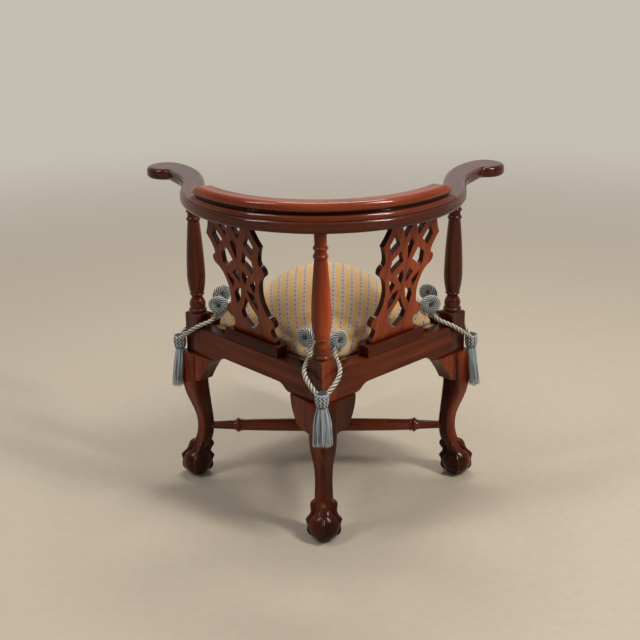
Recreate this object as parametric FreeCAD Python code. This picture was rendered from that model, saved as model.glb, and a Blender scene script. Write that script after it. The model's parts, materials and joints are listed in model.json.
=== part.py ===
import FreeCAD, Part
import math
import os
from FreeCAD import Vector

# Child's corner armchair: a square seat set on its diagonal, a horseshoe arm on three turned posts,
# two pierced splats, cabriole legs with ball-and-claw feet and a loose cushion tied to the posts.
# Millimetres, +Z up, origin on the floor under the middle of the seat.
# The back corner points along -Y and the open front corner along +Y.

# Joinery
FIT = 0.15                  # clearance round every tenon, dowel and slot
FREE_GAP = 0.6              # clearance beside soft and moving pieces

# Seat frame
SEAT_SIDE = 348.0           # over the outer faces of the rails
RAIL_TOP = 295.0            # height of the rails' upper edge
RAIL_THICK = 26.0
RAIL_DEPTH = 39.0           # between the shaped ends
RAIL_END_DEPTH = 51.0       # at the posts
RAIL_END_LENGTH = 76.0      # deep end, measured from the seat corner
RAIL_RISE_LENGTH = 29.0     # run of the S-curve in the lower edge
RAIL_EDGE_ROUND = 2.0
RAIL_TENON_THICK = 10.0
RAIL_TENON_SHOULDER = 7.0   # above and below the tenon
TENON_WALL = 1.0            # wood left between two tenons in one post

# Posts
POST_BLOCK = 32.0           # side of the square block
POST_RISE = 22.0            # block above the rails
POST_DOWEL_RADIUS = 9.0
POST_DOWEL_LENGTH = 24.0
POST_TENON_RADIUS = 7.0
POST_TENON_LENGTH = 12.0
BLOCK_CHAMFER = 2.5
POST_RING_RADIUS = 15.8     # lowest ring of the turning
POST_BALL_RADIUS = 14.2
POST_NECK_RADIUS = 9.6
POST_SWELL_RADIUS = 16.2    # thickest part of the column
POST_TOP_RADIUS = 10.4      # thinnest part of the column
POST_BEAD_RADIUS = 12.2     # pair of beads under the arm

# Arm and crest
ARM_UNDERSIDE = 524.0
ARM_THICK = 20.0
ARM_OUTER_REACH = 18.5      # outwards from the circle of the posts
ARM_INNER_REACH = 22.0
ARM_ROUND = 7.0             # rounding of the arm's edges
PADDLE_X = 290.0            # centre of the rounded arm end
PADDLE_Y = 152.0
PADDLE_RADIUS = 34.0
PADDLE_START = 130.0        # degrees round the paddle, from +X, where its round starts and ends
PADDLE_END = -95.0
NOOK_RADIUS = 8.0           # hollow between the paddle and the arm's outer edge
NOOK_TURN = 70.0
ARM_INNER_ANGLE = 86.0      # degrees round from the back where the inner and outer arcs end
ARM_OUTER_ANGLE = 78.0
CREST_HEIGHT = 28.0
CREST_OUTER_REACH = 14.6
CREST_INNER_REACH = 16.4
CREST_HALF_ANGLE = 65.5     # each way from the back, at the crest's foot
CREST_TOP_ANGLE = 57.0      # the same at its top
CREST_OVOLO = 9.0           # height of the lower moulding
CREST_COVE = 3.0            # height of the hollow above it
CREST_SCREW_ANGLES = (-26.0, -12.0, 12.0, 26.0)
CREST_SCREW_BITE = 14.0

# Splats and shoes
SHOE_HEIGHT = 18.0
SHOE_LENGTH = 134.0
SHOE_SETBACK = 2.0          # from the rail's outer face
SHOE_THICK = 22.0
SHOE_ROUND = 6.0
SPLAT_THICK = 9.0
SPLAT_FOOT_WIDTH = 108.0
SPLAT_HEAD_WIDTH = 106.0
SPLAT_FOOT_SETBACK = 12.0   # outer face of the splat's foot behind the rail's face
SPLAT_HEAD_SETBACK = 11.9   # outer face of the splat's head inside the circle of the posts
SPLAT_DRAWN_LENGTH = 217.0  # length that the outline below is drawn for
SPLAT_FOOT_TENON = 10.0
SPLAT_HEAD_TENON = 8.0

# Legs and feet
KNEE_ROUND = 6.0            # rounding of the arrises at the knee
ANKLE_ROUND = 8.0
FOOT_SETBACK = 8.0          # centre of the ball inside the seat corner
BALL_RADIUS = 26.5
FOOT_FLAT = 1.0             # depth of the flat under the ball
FOOT_JOIN = 44.0            # height where the shank ends inside the ball

# Knee brackets
BRACKET_THICK = 24.0        # behind the rail's outer face
BRACKET_PROUD_LEG = 7.5     # in front of that face, at the leg
BRACKET_PROUD_END = 2.5     # in front of that face, at the far end
BRACKET_START = 18.0        # within the leg, which then cuts it, from the seat corner
BRACKET_LENGTH = 73.0       # along the rail, from the seat corner
BRACKET_TAIL = 5.0          # below the step, at the leg
BACK_BRACKET = (53.0, 52.0, 5.0)    # step from the seat corner, step below the rail, belly of the edge
SIDE_BRACKET = (38.0, 48.0, -2.0)

# Stretchers
STRETCHER_HEIGHT = 96.0
STRETCHER_END_RADIUS = 7.0
STRETCHER_RING_RADIUS = 13.0
STRETCHER_RING_PLACE = 160.0
STRETCHER_WAIST_RADIUS = 10.0
STRETCHER_MIDDLE_RADIUS = 12.0
STRETCHER_BITE = 12.0       # into the leg's inner arris

# Seat board, corner blocks and cushion
BOARD_THICK = 12.0
BOARD_DROP = 10.0           # top of the board under the rails' top
BOARD_GAP = 1.0
CORNER_BLOCK_LEG = 56.0     # along each rail
CORNER_BLOCK_DEPTH = 24.0
CORNER_SCREW_RADIUS = 2.2
CORNER_SCREW_BITE = 12.0
SCREW_HEAD_RADIUS = 4.4
SCREW_HEAD_HEIGHT = 3.0
CREST_SCREW_RADIUS = 2.0
CUSHION_GAP = 2.0           # cushion to rail at its widest
CUSHION_SEAM = 23.0         # widest line above the board
CUSHION_RISE = 91.0         # crown above the seam
CUSHION_TUCK = 10.0         # foot inside the seam
CUSHION_CORNER = 40.0
CUSHION_DRAWN_IN = 5.0      # sides pulled in between the corners
CUSHION_SWELL = 2.5         # exponents of the crown's fall: fullness of the sides, ease of the top
CUSHION_EASE = 1.4
CUSHION_TOP_LEVEL = 0.997   # share of the rise where the crown is closed by a small flat
CUSHION_FOOT_STEPS = 4
CUSHION_CROWN_STEPS = 12

# Ties
ROPE_RADIUS = 4.0
COIL_GAP = 0.6              # between neighbouring turns of a rosette
COIL_INNER_RADIUS = 4.7
ROSETTE_ASIDE = 26.5        # centre of a rosette's outer turn, beside the post
ROSETTE_REACH = 183.0       # the same, from the chair's centre
ROSETTE_HEIGHT = 337.0
ROSETTE_TURN = 33.0         # degrees that a rosette faces away from the corner
KNOT_RADIUS = 12.0
KNOT_TAPER = 2.6            # narrower at the foot
KNOT_HEIGHT = 24.0
KNOT_BOTTOM = 248.0
KNOT_REACH = 258.5          # axis of the knot from the chair's centre
TASSEL_LENGTH = 68.0
TASSEL_TOP_RADIUS = 9.0
TASSEL_HALF_WIDTH = 16.0    # at the hem, along the seat corner
TASSEL_HALF_DEPTH = 9.0     # at the hem, out from the corner
TASSEL_LEAN = 6.5           # degrees, out over the knee
TASSEL_NECK_RADIUS = 2.2

# Places that follow from the sizes above
ROOT2 = math.sqrt(2.0)
rail_face = SEAT_SIDE / 2.0
rail_inner = rail_face - RAIL_THICK
rail_half = rail_face - POST_BLOCK          # half the length between the posts
corner_reach = rail_face * ROOT2            # seat corner from the centre
post_reach = corner_reach - POST_BLOCK / ROOT2
leg_top = RAIL_TOP - RAIL_END_DEPTH
block_top = RAIL_TOP + POST_RISE
arm_top = ARM_UNDERSIDE + ARM_THICK
arm_outer = post_reach + ARM_OUTER_REACH
arm_inner = post_reach - ARM_INNER_REACH
foot_reach = corner_reach - FOOT_SETBACK
board_top = RAIL_TOP - BOARD_DROP
board_bottom = board_top - BOARD_THICK
shoe_top = RAIL_TOP + SHOE_HEIGHT

CORNERS = {"back": 0.0, "right": 90.0, "front": 180.0, "left": 270.0}
SIDES = {"back_right": 45.0, "front_right": 135.0, "front_left": 225.0, "back_left": 315.0}
POSTED = ("back", "right", "left")


# Small helpers

def turned_about_z(shape, degrees):
    """A copy of the shape, turned about the chair's upright axis."""
    copy = shape.copy()
    copy.rotate(Vector(0, 0, 0), Vector(0, 0, 1), degrees)
    return copy


def mirrored_x(shape):
    return shape.mirror(Vector(0, 0, 0), Vector(1, 0, 0))


def box_between(low, high):
    return Part.makeBox(high[0] - low[0], high[1] - low[1], high[2] - low[2], Vector(*low))


def line(start, end):
    return Part.LineSegment(Vector(*start), Vector(*end)).toShape()


def arc(start, middle, end):
    return Part.Arc(Vector(*start), Vector(*middle), Vector(*end)).toShape()


def drawn_edges(points, place):
    """Edges through a list of points: (a, b) is reached by a line, (a, b, via_a, via_b) by an arc."""
    edges = []
    last = place(*points[0][:2])
    for point in points[1:]:
        end = place(*point[:2])
        if len(point) == 2:
            edges.append(line(last, end))
        else:
            edges.append(arc(last, place(*point[2:]), end))
        last = end
    return edges


def lathe(profile):
    """Solid of revolution about Z from (radius, height) points, closed to the axis at both ends."""
    def place(radius, height):
        return (radius, 0.0, height)
    foot = place(0.0, profile[0][1])
    head = place(0.0, profile[-1][1])
    edges = drawn_edges(profile, place)
    if profile[0][0] > 0.0:
        edges.insert(0, line(foot, place(*profile[0][:2])))
    if profile[-1][0] > 0.0:
        edges.append(line(place(*profile[-1][:2]), head))
    edges.append(line(head, foot))
    face = Part.Face(Part.Wire(edges))
    return face.revolve(Vector(0, 0, 0), Vector(0, 0, 1), 360)


def closed_prism(points, place, direction):
    """Prism of a closed outline drawn as in drawn_edges."""
    edges = drawn_edges(list(points) + [points[0][:2]], place)
    return Part.Face(Part.Wire(edges)).extrude(Vector(*direction))


def rounded_diamond(reach, half, corner, height):
    """Square section on its diagonal, its centre at that reach towards the back, with rounded arrises."""
    centre = Vector(0, -reach, height)
    tip = half + corner * (ROOT2 - 1.0)
    ways = (Vector(0, -1, 0), Vector(1, 0, 0), Vector(0, 1, 0), Vector(-1, 0, 0))
    starts = []
    ends = []
    for index, way in enumerate(ways):
        point = centre + way * tip
        back = (ways[index - 1] - way).normalize()
        ahead = (ways[(index + 1) % 4] - way).normalize()
        starts.append(point + back * corner)
        ends.append(point + ahead * corner)
    edges = []
    for index, way in enumerate(ways):
        edges.append(Part.Arc(starts[index], centre + way * half, ends[index]).toShape())
        edges.append(Part.LineSegment(ends[index], starts[(index + 1) % 4]).toShape())
    return Part.Wire(edges)


def ring_section(centre, across, upright, half_across, half_upright):
    """Closed ring of four quarter arcs about a centre."""
    spots = []
    for step in range(8):
        angle = math.radians(45.0 * step)
        aside = across * (half_across * math.cos(angle))
        spots.append(centre + aside + upright * (half_upright * math.sin(angle)))
    edges = []
    for start in range(0, 8, 2):
        edges.append(Part.Arc(spots[start], spots[start + 1], spots[(start + 2) % 8]).toShape())
    return Part.Wire(edges)


# Seat rails

def rail_tenon(side, grow):
    """Tenon at one end of a rail that faces -Y; side is -1 or 1."""
    length = POST_BLOCK - (RAIL_THICK + RAIL_TENON_THICK) / 2.0 - TENON_WALL
    middle = rail_face - RAIL_THICK / 2.0
    ends = sorted((side * rail_half, side * (rail_half + length + grow)))
    low = (ends[0], -middle - RAIL_TENON_THICK / 2.0 - grow, leg_top + RAIL_TENON_SHOULDER - grow)
    high = (ends[1], -middle + RAIL_TENON_THICK / 2.0 + grow, RAIL_TOP - RAIL_TENON_SHOULDER + grow)
    return box_between(low, high)


def ogee(start, end):
    """Points of an S-curve of two equal arcs, level at both ends, for drawn_edges."""
    half_run = (end[0] - start[0]) / 2.0
    half_rise = (end[1] - start[1]) / 2.0
    radius = (half_run ** 2 + half_rise ** 2) / (2.0 * abs(half_rise))
    angle = math.asin(abs(half_run) / radius) / 2.0
    along = math.copysign(radius * math.sin(angle), half_run)
    up = math.copysign(radius * (1.0 - math.cos(angle)), half_rise)
    middle = (start[0] + half_run, start[1] + half_rise)
    return [middle + (start[0] + along, start[1] + up), tuple(end) + (end[0] - along, end[1] - up)]


def make_rail():
    deep = rail_face - RAIL_END_LENGTH
    shallow = deep - RAIL_RISE_LENGTH
    low = leg_top
    high = RAIL_TOP - RAIL_DEPTH
    outline = [(-rail_half, RAIL_TOP), (-rail_half, low), (-deep, low)]
    outline += ogee((-deep, low), (-shallow, high))
    outline += [(shallow, high)]
    outline += ogee((shallow, high), (deep, low))
    outline += [(rail_half, low), (rail_half, RAIL_TOP)]
    rail = closed_prism(outline, lambda x, z: (x, -rail_face, z), (0, RAIL_THICK, 0))
    upper = [e for e in rail.Edges if e.BoundBox.ZMin > RAIL_TOP - 0.01]
    rail = rail.makeFillet(RAIL_EDGE_ROUND, [e for e in upper if e.BoundBox.YMax < -rail_face + 0.01])
    return rail.fuse([rail_tenon(-1, 0.0), rail_tenon(1, 0.0)])


# Posts, with the square block that the rails are tenoned into

def corner_block_square(low, high):
    """Square block of a post, on its diagonal at the back corner."""
    half = POST_BLOCK / 2.0
    block = box_between((-half, -half, low), (half, half, high))
    block.rotate(Vector(0, 0, 0), Vector(0, 0, 1), 45)
    block.translate(Vector(0, -post_reach, 0))
    return block


def rail_mortises():
    """Both mortises of the back corner."""
    return [turned_about_z(rail_tenon(-1, FIT), 45), turned_about_z(rail_tenon(1, FIT), -45)]


def post_dowel(grow):
    dowel = Part.makeCylinder(POST_DOWEL_RADIUS + grow, POST_DOWEL_LENGTH + grow)
    dowel.translate(Vector(0, -post_reach, leg_top - POST_DOWEL_LENGTH - grow))
    return dowel


def post_tenon(grow):
    tenon = Part.makeCylinder(POST_TENON_RADIUS + grow, POST_TENON_LENGTH + grow)
    tenon.translate(Vector(0, -post_reach, ARM_UNDERSIDE))
    return tenon


def post_turning():
    """The turned column between the block and the arm."""
    base = block_top
    head = ARM_UNDERSIDE
    ring = POST_RING_RADIUS
    ball = POST_BALL_RADIUS
    neck = POST_NECK_RADIUS
    swell = POST_SWELL_RADIUS
    top = POST_TOP_RADIUS
    bead = POST_BEAD_RADIUS
    profile = [
        (ring - 1.6, base),
        (ring - 1.6, base + 1.0),
        (ring - 1.8, base + 7.0, ring, base + 4.0),
        (ball - 1.0, base + 8.6),
        (neck + 2.2, base + 23.0, ball, base + 14.0),
        (neck, base + 29.0, neck + 0.6, base + 26.0),
        (neck + 2.2, base + 31.5),
        (neck + 2.2, base + 35.0, neck + 3.2, base + 33.2),
        (neck + 2.8, base + 37.0),
        (swell, base + 68.0, swell - 1.3, base + 51.0),
        (top, head - 44.0, (swell + top) / 2.0 + 1.0, (base + 68.0 + head - 44.0) / 2.0),
        (top, head - 42.0),
        (top, head - 35.0, bead, head - 38.5),
        (top - 0.6, head - 32.0),
        (top - 0.6, head - 28.0),
        (top - 0.6, head - 22.0, bead, head - 25.0),
        (top - 0.8, head - 20.0),
        (top - 0.3, head),
    ]
    column = lathe(profile)
    column.translate(Vector(0, -post_reach, 0))
    return column


def make_post():
    block = corner_block_square(leg_top, block_top)
    rims = [e for e in block.Edges if e.BoundBox.ZMin > block_top - 0.01]
    block = block.makeChamfer(BLOCK_CHAMFER, rims)
    post = block.fuse([post_turning(), post_dowel(0.0), post_tenon(0.0)])
    return post.cut(rail_mortises())


# Legs with ball-and-claw feet

def leg_stations():
    """Height share from the foot to the leg's top, then the outer and inner arris from the seat corner."""
    return [
        (0.000, 6.0, -26.0),
        (0.105, -4.3, -35.0),
        (0.170, -9.0, -39.3),
        (0.250, -11.7, -41.2),
        (0.355, -10.5, -41.0),
        (0.460, -4.0, -39.0),
        (0.570, 5.0, -37.0),
        (0.680, 10.0, -35.3),
        (0.805, 11.3, -35.5),
        (0.905, 11.5, -37.0),
        (0.970, 10.5, -39.0),
        (1.000, 8.0, -40.0),
    ]


def leg_shank(grow):
    """The S-curved shank, lofted through square sections that stand on their diagonal."""
    sections = []
    for share, outer, inner in leg_stations():
        height = FOOT_JOIN + share * (leg_top - FOOT_JOIN)
        reach = corner_reach + (outer + inner) / 2.0
        half = (outer - inner) / 2.0 + grow
        corner = ANKLE_ROUND + share * (KNEE_ROUND - ANKLE_ROUND)
        sections.append(rounded_diamond(reach, half, corner, height))
    return Part.makeLoft(sections, True, False)


def shank_offset(height):
    """How far the shank's middle lies inside the ball's axis at a height; nothing below the ball's middle."""
    last_height = BALL_RADIUS
    last_inside = 0.0
    for share, outer, inner in leg_stations():
        next_height = FOOT_JOIN + share * (leg_top - FOOT_JOIN)
        next_inside = -(outer + inner) / 2.0 - FOOT_SETBACK
        if height <= next_height:
            along = max(height - last_height, 0.0) / (next_height - last_height)
            return last_inside + along * (next_inside - last_inside)
        last_height = next_height
        last_inside = next_inside
    return last_inside


def toe_stations():
    """Distance out, height, half width and half depth along one claw: tendon, two knuckles and the talon."""
    return [
        (7.0, 78.0, 4.0, 4.0),
        (11.4, 66.0, 5.2, 5.2),
        (16.8, 54.0, 5.2, 6.2),
        (19.0, 45.0, 4.1, 4.2),
        (23.6, 34.5, 5.2, 7.0),
        (23.6, 24.5, 4.0, 4.2),
        (24.3, 16.5, 3.8, 4.4),
        (22.4, 10.0, 2.8, 3.2),
        (19.8, 6.2, 1.4, 1.6),
    ]


def make_toe(degrees):
    """One claw, that many degrees round from the back, bent towards the ankle that it grows from."""
    turn = math.radians(degrees)
    outwards = Vector(math.sin(turn), -math.cos(turn), 0)
    aside = Vector(math.cos(turn), math.sin(turn), 0)
    stations = toe_stations()
    spots = [outwards * out + Vector(0, shank_offset(height), height) for out, height, wide, deep in stations]
    sections = []
    for index, (out, height, wide, deep) in enumerate(stations):
        before = spots[max(index - 1, 0)]
        after = spots[min(index + 1, len(spots) - 1)]
        along = (after - before).normalize()
        across = (aside - along * along.dot(aside)).normalize()
        upright = along.cross(across).normalize()
        sections.append(ring_section(spots[index], across, upright, wide, deep))
    return Part.makeLoft(sections, True, False)


def make_web():
    """The skin that flares from the ankle over the top of the ball, between the claws."""
    flare = [(10.2, 72.0), (11.4, 62.0), (13.6, 54.0), (16.8, 47.0), (19.4, 41.0)]     # radius, height
    sections = []
    for radius, height in flare:
        middle = Vector(0, shank_offset(height), height)
        sections.append(ring_section(middle, Vector(1, 0, 0), Vector(0, 1, 0), radius, radius))
    return Part.makeLoft(sections, True, False)


def make_foot():
    """Ball with a flat under it, the skin above it and the four claws that hold it."""
    ball = Part.makeSphere(BALL_RADIUS)
    ball.translate(Vector(0, 0, BALL_RADIUS - FOOT_FLAT))
    ground = 2.0 * BALL_RADIUS
    ball = ball.common(box_between((-ground, -ground, 0), (ground, ground, 2.0 * ground)))
    foot = ball.fuse([make_web()] + [make_toe(90.0 * quarter) for quarter in range(4)])
    foot.translate(Vector(0, -foot_reach, 0))
    return foot


def stretcher_reach():
    """End of a stretcher from the chair's centre, inside the leg's inner arris."""
    return corner_reach + min(inner for share, outer, inner in leg_stations()) + STRETCHER_BITE


def stretcher_end(grow):
    """The end of a stretcher in the leg at the back."""
    start = Vector(0, 0, STRETCHER_HEIGHT)
    return Part.makeCylinder(STRETCHER_END_RADIUS + grow, stretcher_reach() + grow, start, Vector(0, -1, 0))


def make_leg(with_block):
    leg = leg_shank(0.0).fuse(make_foot())
    if with_block:
        block = corner_block_square(leg_top, RAIL_TOP)
        leg = leg.fuse(block).cut(rail_mortises())
    else:
        leg = leg.cut(post_dowel(FIT))
    return leg.cut(stretcher_end(FIT))


# Knee brackets

def make_bracket(toe, depth, belly):
    """Bracket under a rail that faces -Y, beside the leg at the rail's left end."""
    long = BRACKET_LENGTH
    step = leg_top - depth
    run = long - toe
    slant = math.hypot(run, depth)
    middle = (toe + run / 2.0 + belly * depth / slant, step + depth / 2.0 - belly * run / slant)
    outline = [
        (BRACKET_START, leg_top),
        (long, leg_top),
        (toe, step) + middle,
        (toe - BRACKET_TAIL, step - 0.2 * BRACKET_TAIL),
        (BRACKET_START, step - BRACKET_TAIL),
    ]
    front = rail_face + BRACKET_PROUD_LEG
    deep = BRACKET_PROUD_LEG + BRACKET_THICK
    bracket = closed_prism(outline, lambda d, z: (d - rail_face, -front, z), (0, deep, 0))
    far = 2.0 * long
    slope = (BRACKET_PROUD_LEG - BRACKET_PROUD_END) / long
    wedge = [(0.0, 0.0), (far, slope * far), (far, -deep), (0.0, -deep)]
    tall = 2.0 * (depth + BRACKET_TAIL)
    shave = closed_prism(wedge, lambda d, y: (d - rail_face, y - front, leg_top - tall), (0, 0, 2.0 * tall))
    leg = turned_about_z(leg_shank(0.0), -45)
    return bracket.cut([shave, leg])


# Horseshoe arm, in two halves that meet behind the back post

def on_circle(radius, degrees):
    """Point on the plan, the angle counted from the back towards +X."""
    angle = math.radians(degrees)
    return (radius * math.sin(angle), -radius * math.cos(angle))


def arm_outline():
    """Plan of the right half: an arc about the centre, a swing, the paddle, a nook and a swing back."""
    def place(point):
        return Vector(point[0], point[1], ARM_UNDERSIDE)

    def on_paddle(degrees):
        angle = math.radians(degrees)
        return (PADDLE_X + PADDLE_RADIUS * math.cos(angle), PADDLE_Y + PADDLE_RADIUS * math.sin(angle))

    def heading(degrees):
        return Vector(math.cos(math.radians(degrees)), math.sin(math.radians(degrees)), 0)

    paddle_start = place(on_paddle(PADDLE_START))
    paddle_middle = place(on_paddle((PADDLE_START + PADDLE_END) / 2.0))
    nook_in = PADDLE_END - 90.0             # heading where the paddle's arc ends
    nook_out = nook_in + NOOK_TURN
    nook_start = place(on_paddle(PADDLE_END))
    nook_centre = nook_start + heading(nook_in + 90.0) * NOOK_RADIUS
    nook_middle = nook_centre + heading(nook_in + NOOK_TURN / 2.0 - 90.0) * NOOK_RADIUS
    nook_end = nook_centre + heading(nook_out - 90.0) * NOOK_RADIUS
    inner_end = place(on_circle(arm_inner, ARM_INNER_ANGLE))
    outer_end = place(on_circle(arm_outer, ARM_OUTER_ANGLE))
    inner_swing = Part.BSplineCurve()
    inner_swing.interpolate(
        Points=[inner_end, place((arm_inner + 24.5, PADDLE_Y - 34.0)), paddle_start],
        InitialTangent=heading(ARM_INNER_ANGLE), FinalTangent=heading(PADDLE_START - 90.0))
    outer_swing = Part.BSplineCurve()
    outer_swing.interpolate(
        Points=[nook_end, place((arm_outer + 8.0, PADDLE_Y - 97.0)), outer_end],
        InitialTangent=heading(nook_out), FinalTangent=heading(ARM_OUTER_ANGLE + 180.0))
    back_inner = place(on_circle(arm_inner, 0.0))
    back_outer = place(on_circle(arm_outer, 0.0))
    return Part.Wire([
        Part.Arc(back_inner, place(on_circle(arm_inner, ARM_INNER_ANGLE / 2.0)), inner_end).toShape(),
        inner_swing.toShape(),
        Part.Arc(paddle_start, paddle_middle, nook_start).toShape(),
        Part.Arc(nook_start, nook_middle, nook_end).toShape(),
        outer_swing.toShape(),
        Part.Arc(outer_end, place(on_circle(arm_outer, ARM_OUTER_ANGLE / 2.0)), back_outer).toShape(),
        Part.LineSegment(back_outer, back_inner).toShape(),
    ])


def make_arm():
    """Right half of the arm."""
    arm = Part.Face(arm_outline()).extrude(Vector(0, 0, ARM_THICK))
    rims = []
    for edge in arm.Edges:
        level = edge.BoundBox.ZLength < 0.01
        at_seam = edge.BoundBox.XMax < 0.01
        if level and not at_seam:
            rims.append(edge)
    arm = arm.makeFillet(min(ARM_ROUND, 0.45 * ARM_THICK), rims)
    cutters = [post_tenon(FIT), turned_about_z(post_tenon(FIT), 90), turned_about_z(splat_blank(FIT), 45)]
    return arm.cut(cutters + crest_screws())


# Crest on the back of the arm

def crest_profile():
    outer = post_reach + CREST_OUTER_REACH
    inner = post_reach - CREST_INNER_REACH
    low = arm_top
    top = arm_top + CREST_HEIGHT
    ovolo = low + CREST_OVOLO
    hollow = ovolo + CREST_COVE
    waist = outer - 6.0
    roll = (top - hollow) / 2.0
    return [
        (inner, low),
        (outer, low),
        (waist, ovolo, outer - 0.6, low + 0.55 * CREST_OVOLO),
        (waist, hollow, waist - 1.0, ovolo + CREST_COVE / 2.0),
        (waist - 1.5, top, outer, hollow + 0.9 * roll),
        (inner + 6.0, top),
        (inner, top - 6.0, inner + 1.76, top - 1.76),
    ]


def make_crest():
    edges = drawn_edges(crest_profile() + [crest_profile()[0]], lambda r, z: (0, -r, z))
    face = Part.Face(Part.Wire(edges))
    face.rotate(Vector(0, 0, 0), Vector(0, 0, 1), -CREST_HALF_ANGLE)
    crest = face.revolve(Vector(0, 0, 0), Vector(0, 0, 1), 2.0 * CREST_HALF_ANGLE)
    run = math.radians(CREST_HALF_ANGLE - CREST_TOP_ANGLE) * post_reach
    size = 2.0 * post_reach
    high = 2.0 * CREST_HEIGHT
    slope = [(0, 0), (-2.0 * run, high), (2.0 * run, high), (2.0 * run, 0)]
    wedge = closed_prism(slope, lambda t, z: (t, -size, arm_top + z), (0, size, 0))
    right = turned_about_z(wedge, CREST_HALF_ANGLE)
    return crest.cut([right, mirrored_x(right)] + crest_screws())


def crest_screws():
    """Countersunk screws from under the arm into the crest."""
    long = ARM_THICK + CREST_SCREW_BITE
    shank = CREST_SCREW_RADIUS
    tip = long - 2.0 * shank
    screw = lathe([(SCREW_HEAD_RADIUS, 0), (shank, SCREW_HEAD_HEIGHT), (shank, tip), (0.4, long)])
    screw.translate(Vector(0, -post_reach, ARM_UNDERSIDE))
    return [turned_about_z(screw, angle) for angle in CREST_SCREW_ANGLES]


# Splats and the shoes that they stand in

def splat_lean():
    rise = ARM_UNDERSIDE - shoe_top
    out = (post_reach - SPLAT_HEAD_SETBACK) - (rail_face - SPLAT_FOOT_SETBACK)
    return math.atan2(out, rise)


def splat_length():
    return (ARM_UNDERSIDE - shoe_top) / math.cos(splat_lean())


def splat_placed(shape):
    """From the drawing plane (x across, y up, z outwards) to the leaning plane over a rail that faces -Y."""
    shape.rotate(Vector(0, 0, 0), Vector(1, 0, 0), 90.0 + math.degrees(splat_lean()))
    shape.translate(Vector(0, -(rail_face - SPLAT_FOOT_SETBACK), shoe_top))
    return shape


def splat_blank(grow):
    """Both tenons of a splat, as one board; used to cut the slots in the shoe and the arm."""
    half = SPLAT_FOOT_WIDTH / 2.0 + grow
    low = (-half, -SPLAT_FOOT_TENON, -SPLAT_THICK - grow)
    high = (half, splat_length() + SPLAT_HEAD_TENON + grow, grow)
    return splat_placed(box_between(low, high))


def splat_edge():
    """Right half of the outline, from the foot to the head."""
    return [
        (SPLAT_FOOT_WIDTH / 2.0, -SPLAT_FOOT_TENON),
        (SPLAT_FOOT_WIDTH / 2.0, 4.0),
        (46.0, 21.0, 48.0, 12.5),
        (49.0, 27.0),
        (47.0, 50.0, 60.0, 39.0),
        (43.0, 105.0, 39.0, 79.0),
        (60.0, 126.0, 49.0, 117.0),
        (55.0, 145.0, 63.5, 136.0),
        (54.0, 152.0),
        (66.0, 180.0, 58.5, 166.0),
        (SPLAT_HEAD_WIDTH / 2.0, 207.0, 57.5, 195.0),
    ]


def splat_holes():
    """Openings on the right half; the first two stand on the middle line."""
    middle = [
        [(0, 184), (7.5, 173), (0, 145)],
        [(0, 75), (10, 57.5), (21, 42), (19, 30), (4, 16), (0, 15)],
    ]
    pairs = [
        [(4, 208), (28, 208), (16, 186)],
        [(40.3, 199), (50.5, 179.5), (42, 162), (26.2, 176.7)],
        [(20.5, 164), (37.5, 150), (39, 132), (31, 126.5, 36.5, 127.5), (18, 138, 23, 134), (10.7, 142.5)],
        [(8, 127), (19, 118), (6, 100), (3, 114)],
        [(35.5, 116), (33, 101), (26, 88), (19.5, 102)],
        [(7, 90), (22, 85), (28, 74), (26, 56), (13, 71.5)],
    ]
    return middle, pairs


def make_splat():
    stretch = splat_length() / SPLAT_DRAWN_LENGTH
    top = splat_length() + SPLAT_HEAD_TENON

    def place(x, y):
        return (x, y * stretch if y > 0 else y, -SPLAT_THICK)

    def flipped(points):
        return [(-p[0], p[1]) if len(p) == 2 else (-p[0], p[1], -p[2], p[3]) for p in points]

    right = splat_edge()
    left = flipped(right)
    half = SPLAT_HEAD_WIDTH / 2.0
    edges = drawn_edges(right, place) + drawn_edges(left, place)
    edges.append(line(place(*right[0]), place(*left[0])))
    edges.append(line(place(*right[-1][:2]), (half, top, -SPLAT_THICK)))
    edges.append(line((half, top, -SPLAT_THICK), (-half, top, -SPLAT_THICK)))
    edges.append(line((-half, top, -SPLAT_THICK), place(*left[-1][:2])))
    splat = Part.Face(Part.Wire(Part.sortEdges(edges)[0])).extrude(Vector(0, 0, SPLAT_THICK))
    middle, pairs = splat_holes()
    cutters = []
    for hole in middle:
        whole = hole + [p for p in reversed(flipped(hole)) if p[0] != 0]
        cutters.append(closed_prism(whole, place, (0, 0, 3.0 * SPLAT_THICK)))
    for hole in pairs:
        cutters.append(closed_prism(hole, place, (0, 0, 3.0 * SPLAT_THICK)))
        cutters.append(closed_prism(flipped(hole), place, (0, 0, 3.0 * SPLAT_THICK)))
    for cutter in cutters:
        cutter.translate(Vector(0, 0, -SPLAT_THICK))
    return splat_placed(splat.cut(cutters))


def make_shoe():
    front = rail_face - SHOE_SETBACK
    half = SHOE_LENGTH / 2.0
    outline = [
        (front, RAIL_TOP),
        (front, shoe_top - SHOE_ROUND),
        (front - SHOE_ROUND, shoe_top, front - 0.3 * SHOE_ROUND, shoe_top - 0.3 * SHOE_ROUND),
        (front - SHOE_THICK, shoe_top),
        (front - SHOE_THICK, RAIL_TOP),
    ]
    shoe = closed_prism(outline, lambda n, z: (-half, -n, z), (SHOE_LENGTH, 0, 0))
    return shoe.cut(splat_blank(FIT))


# Turned stretchers that cross under the seat

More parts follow.
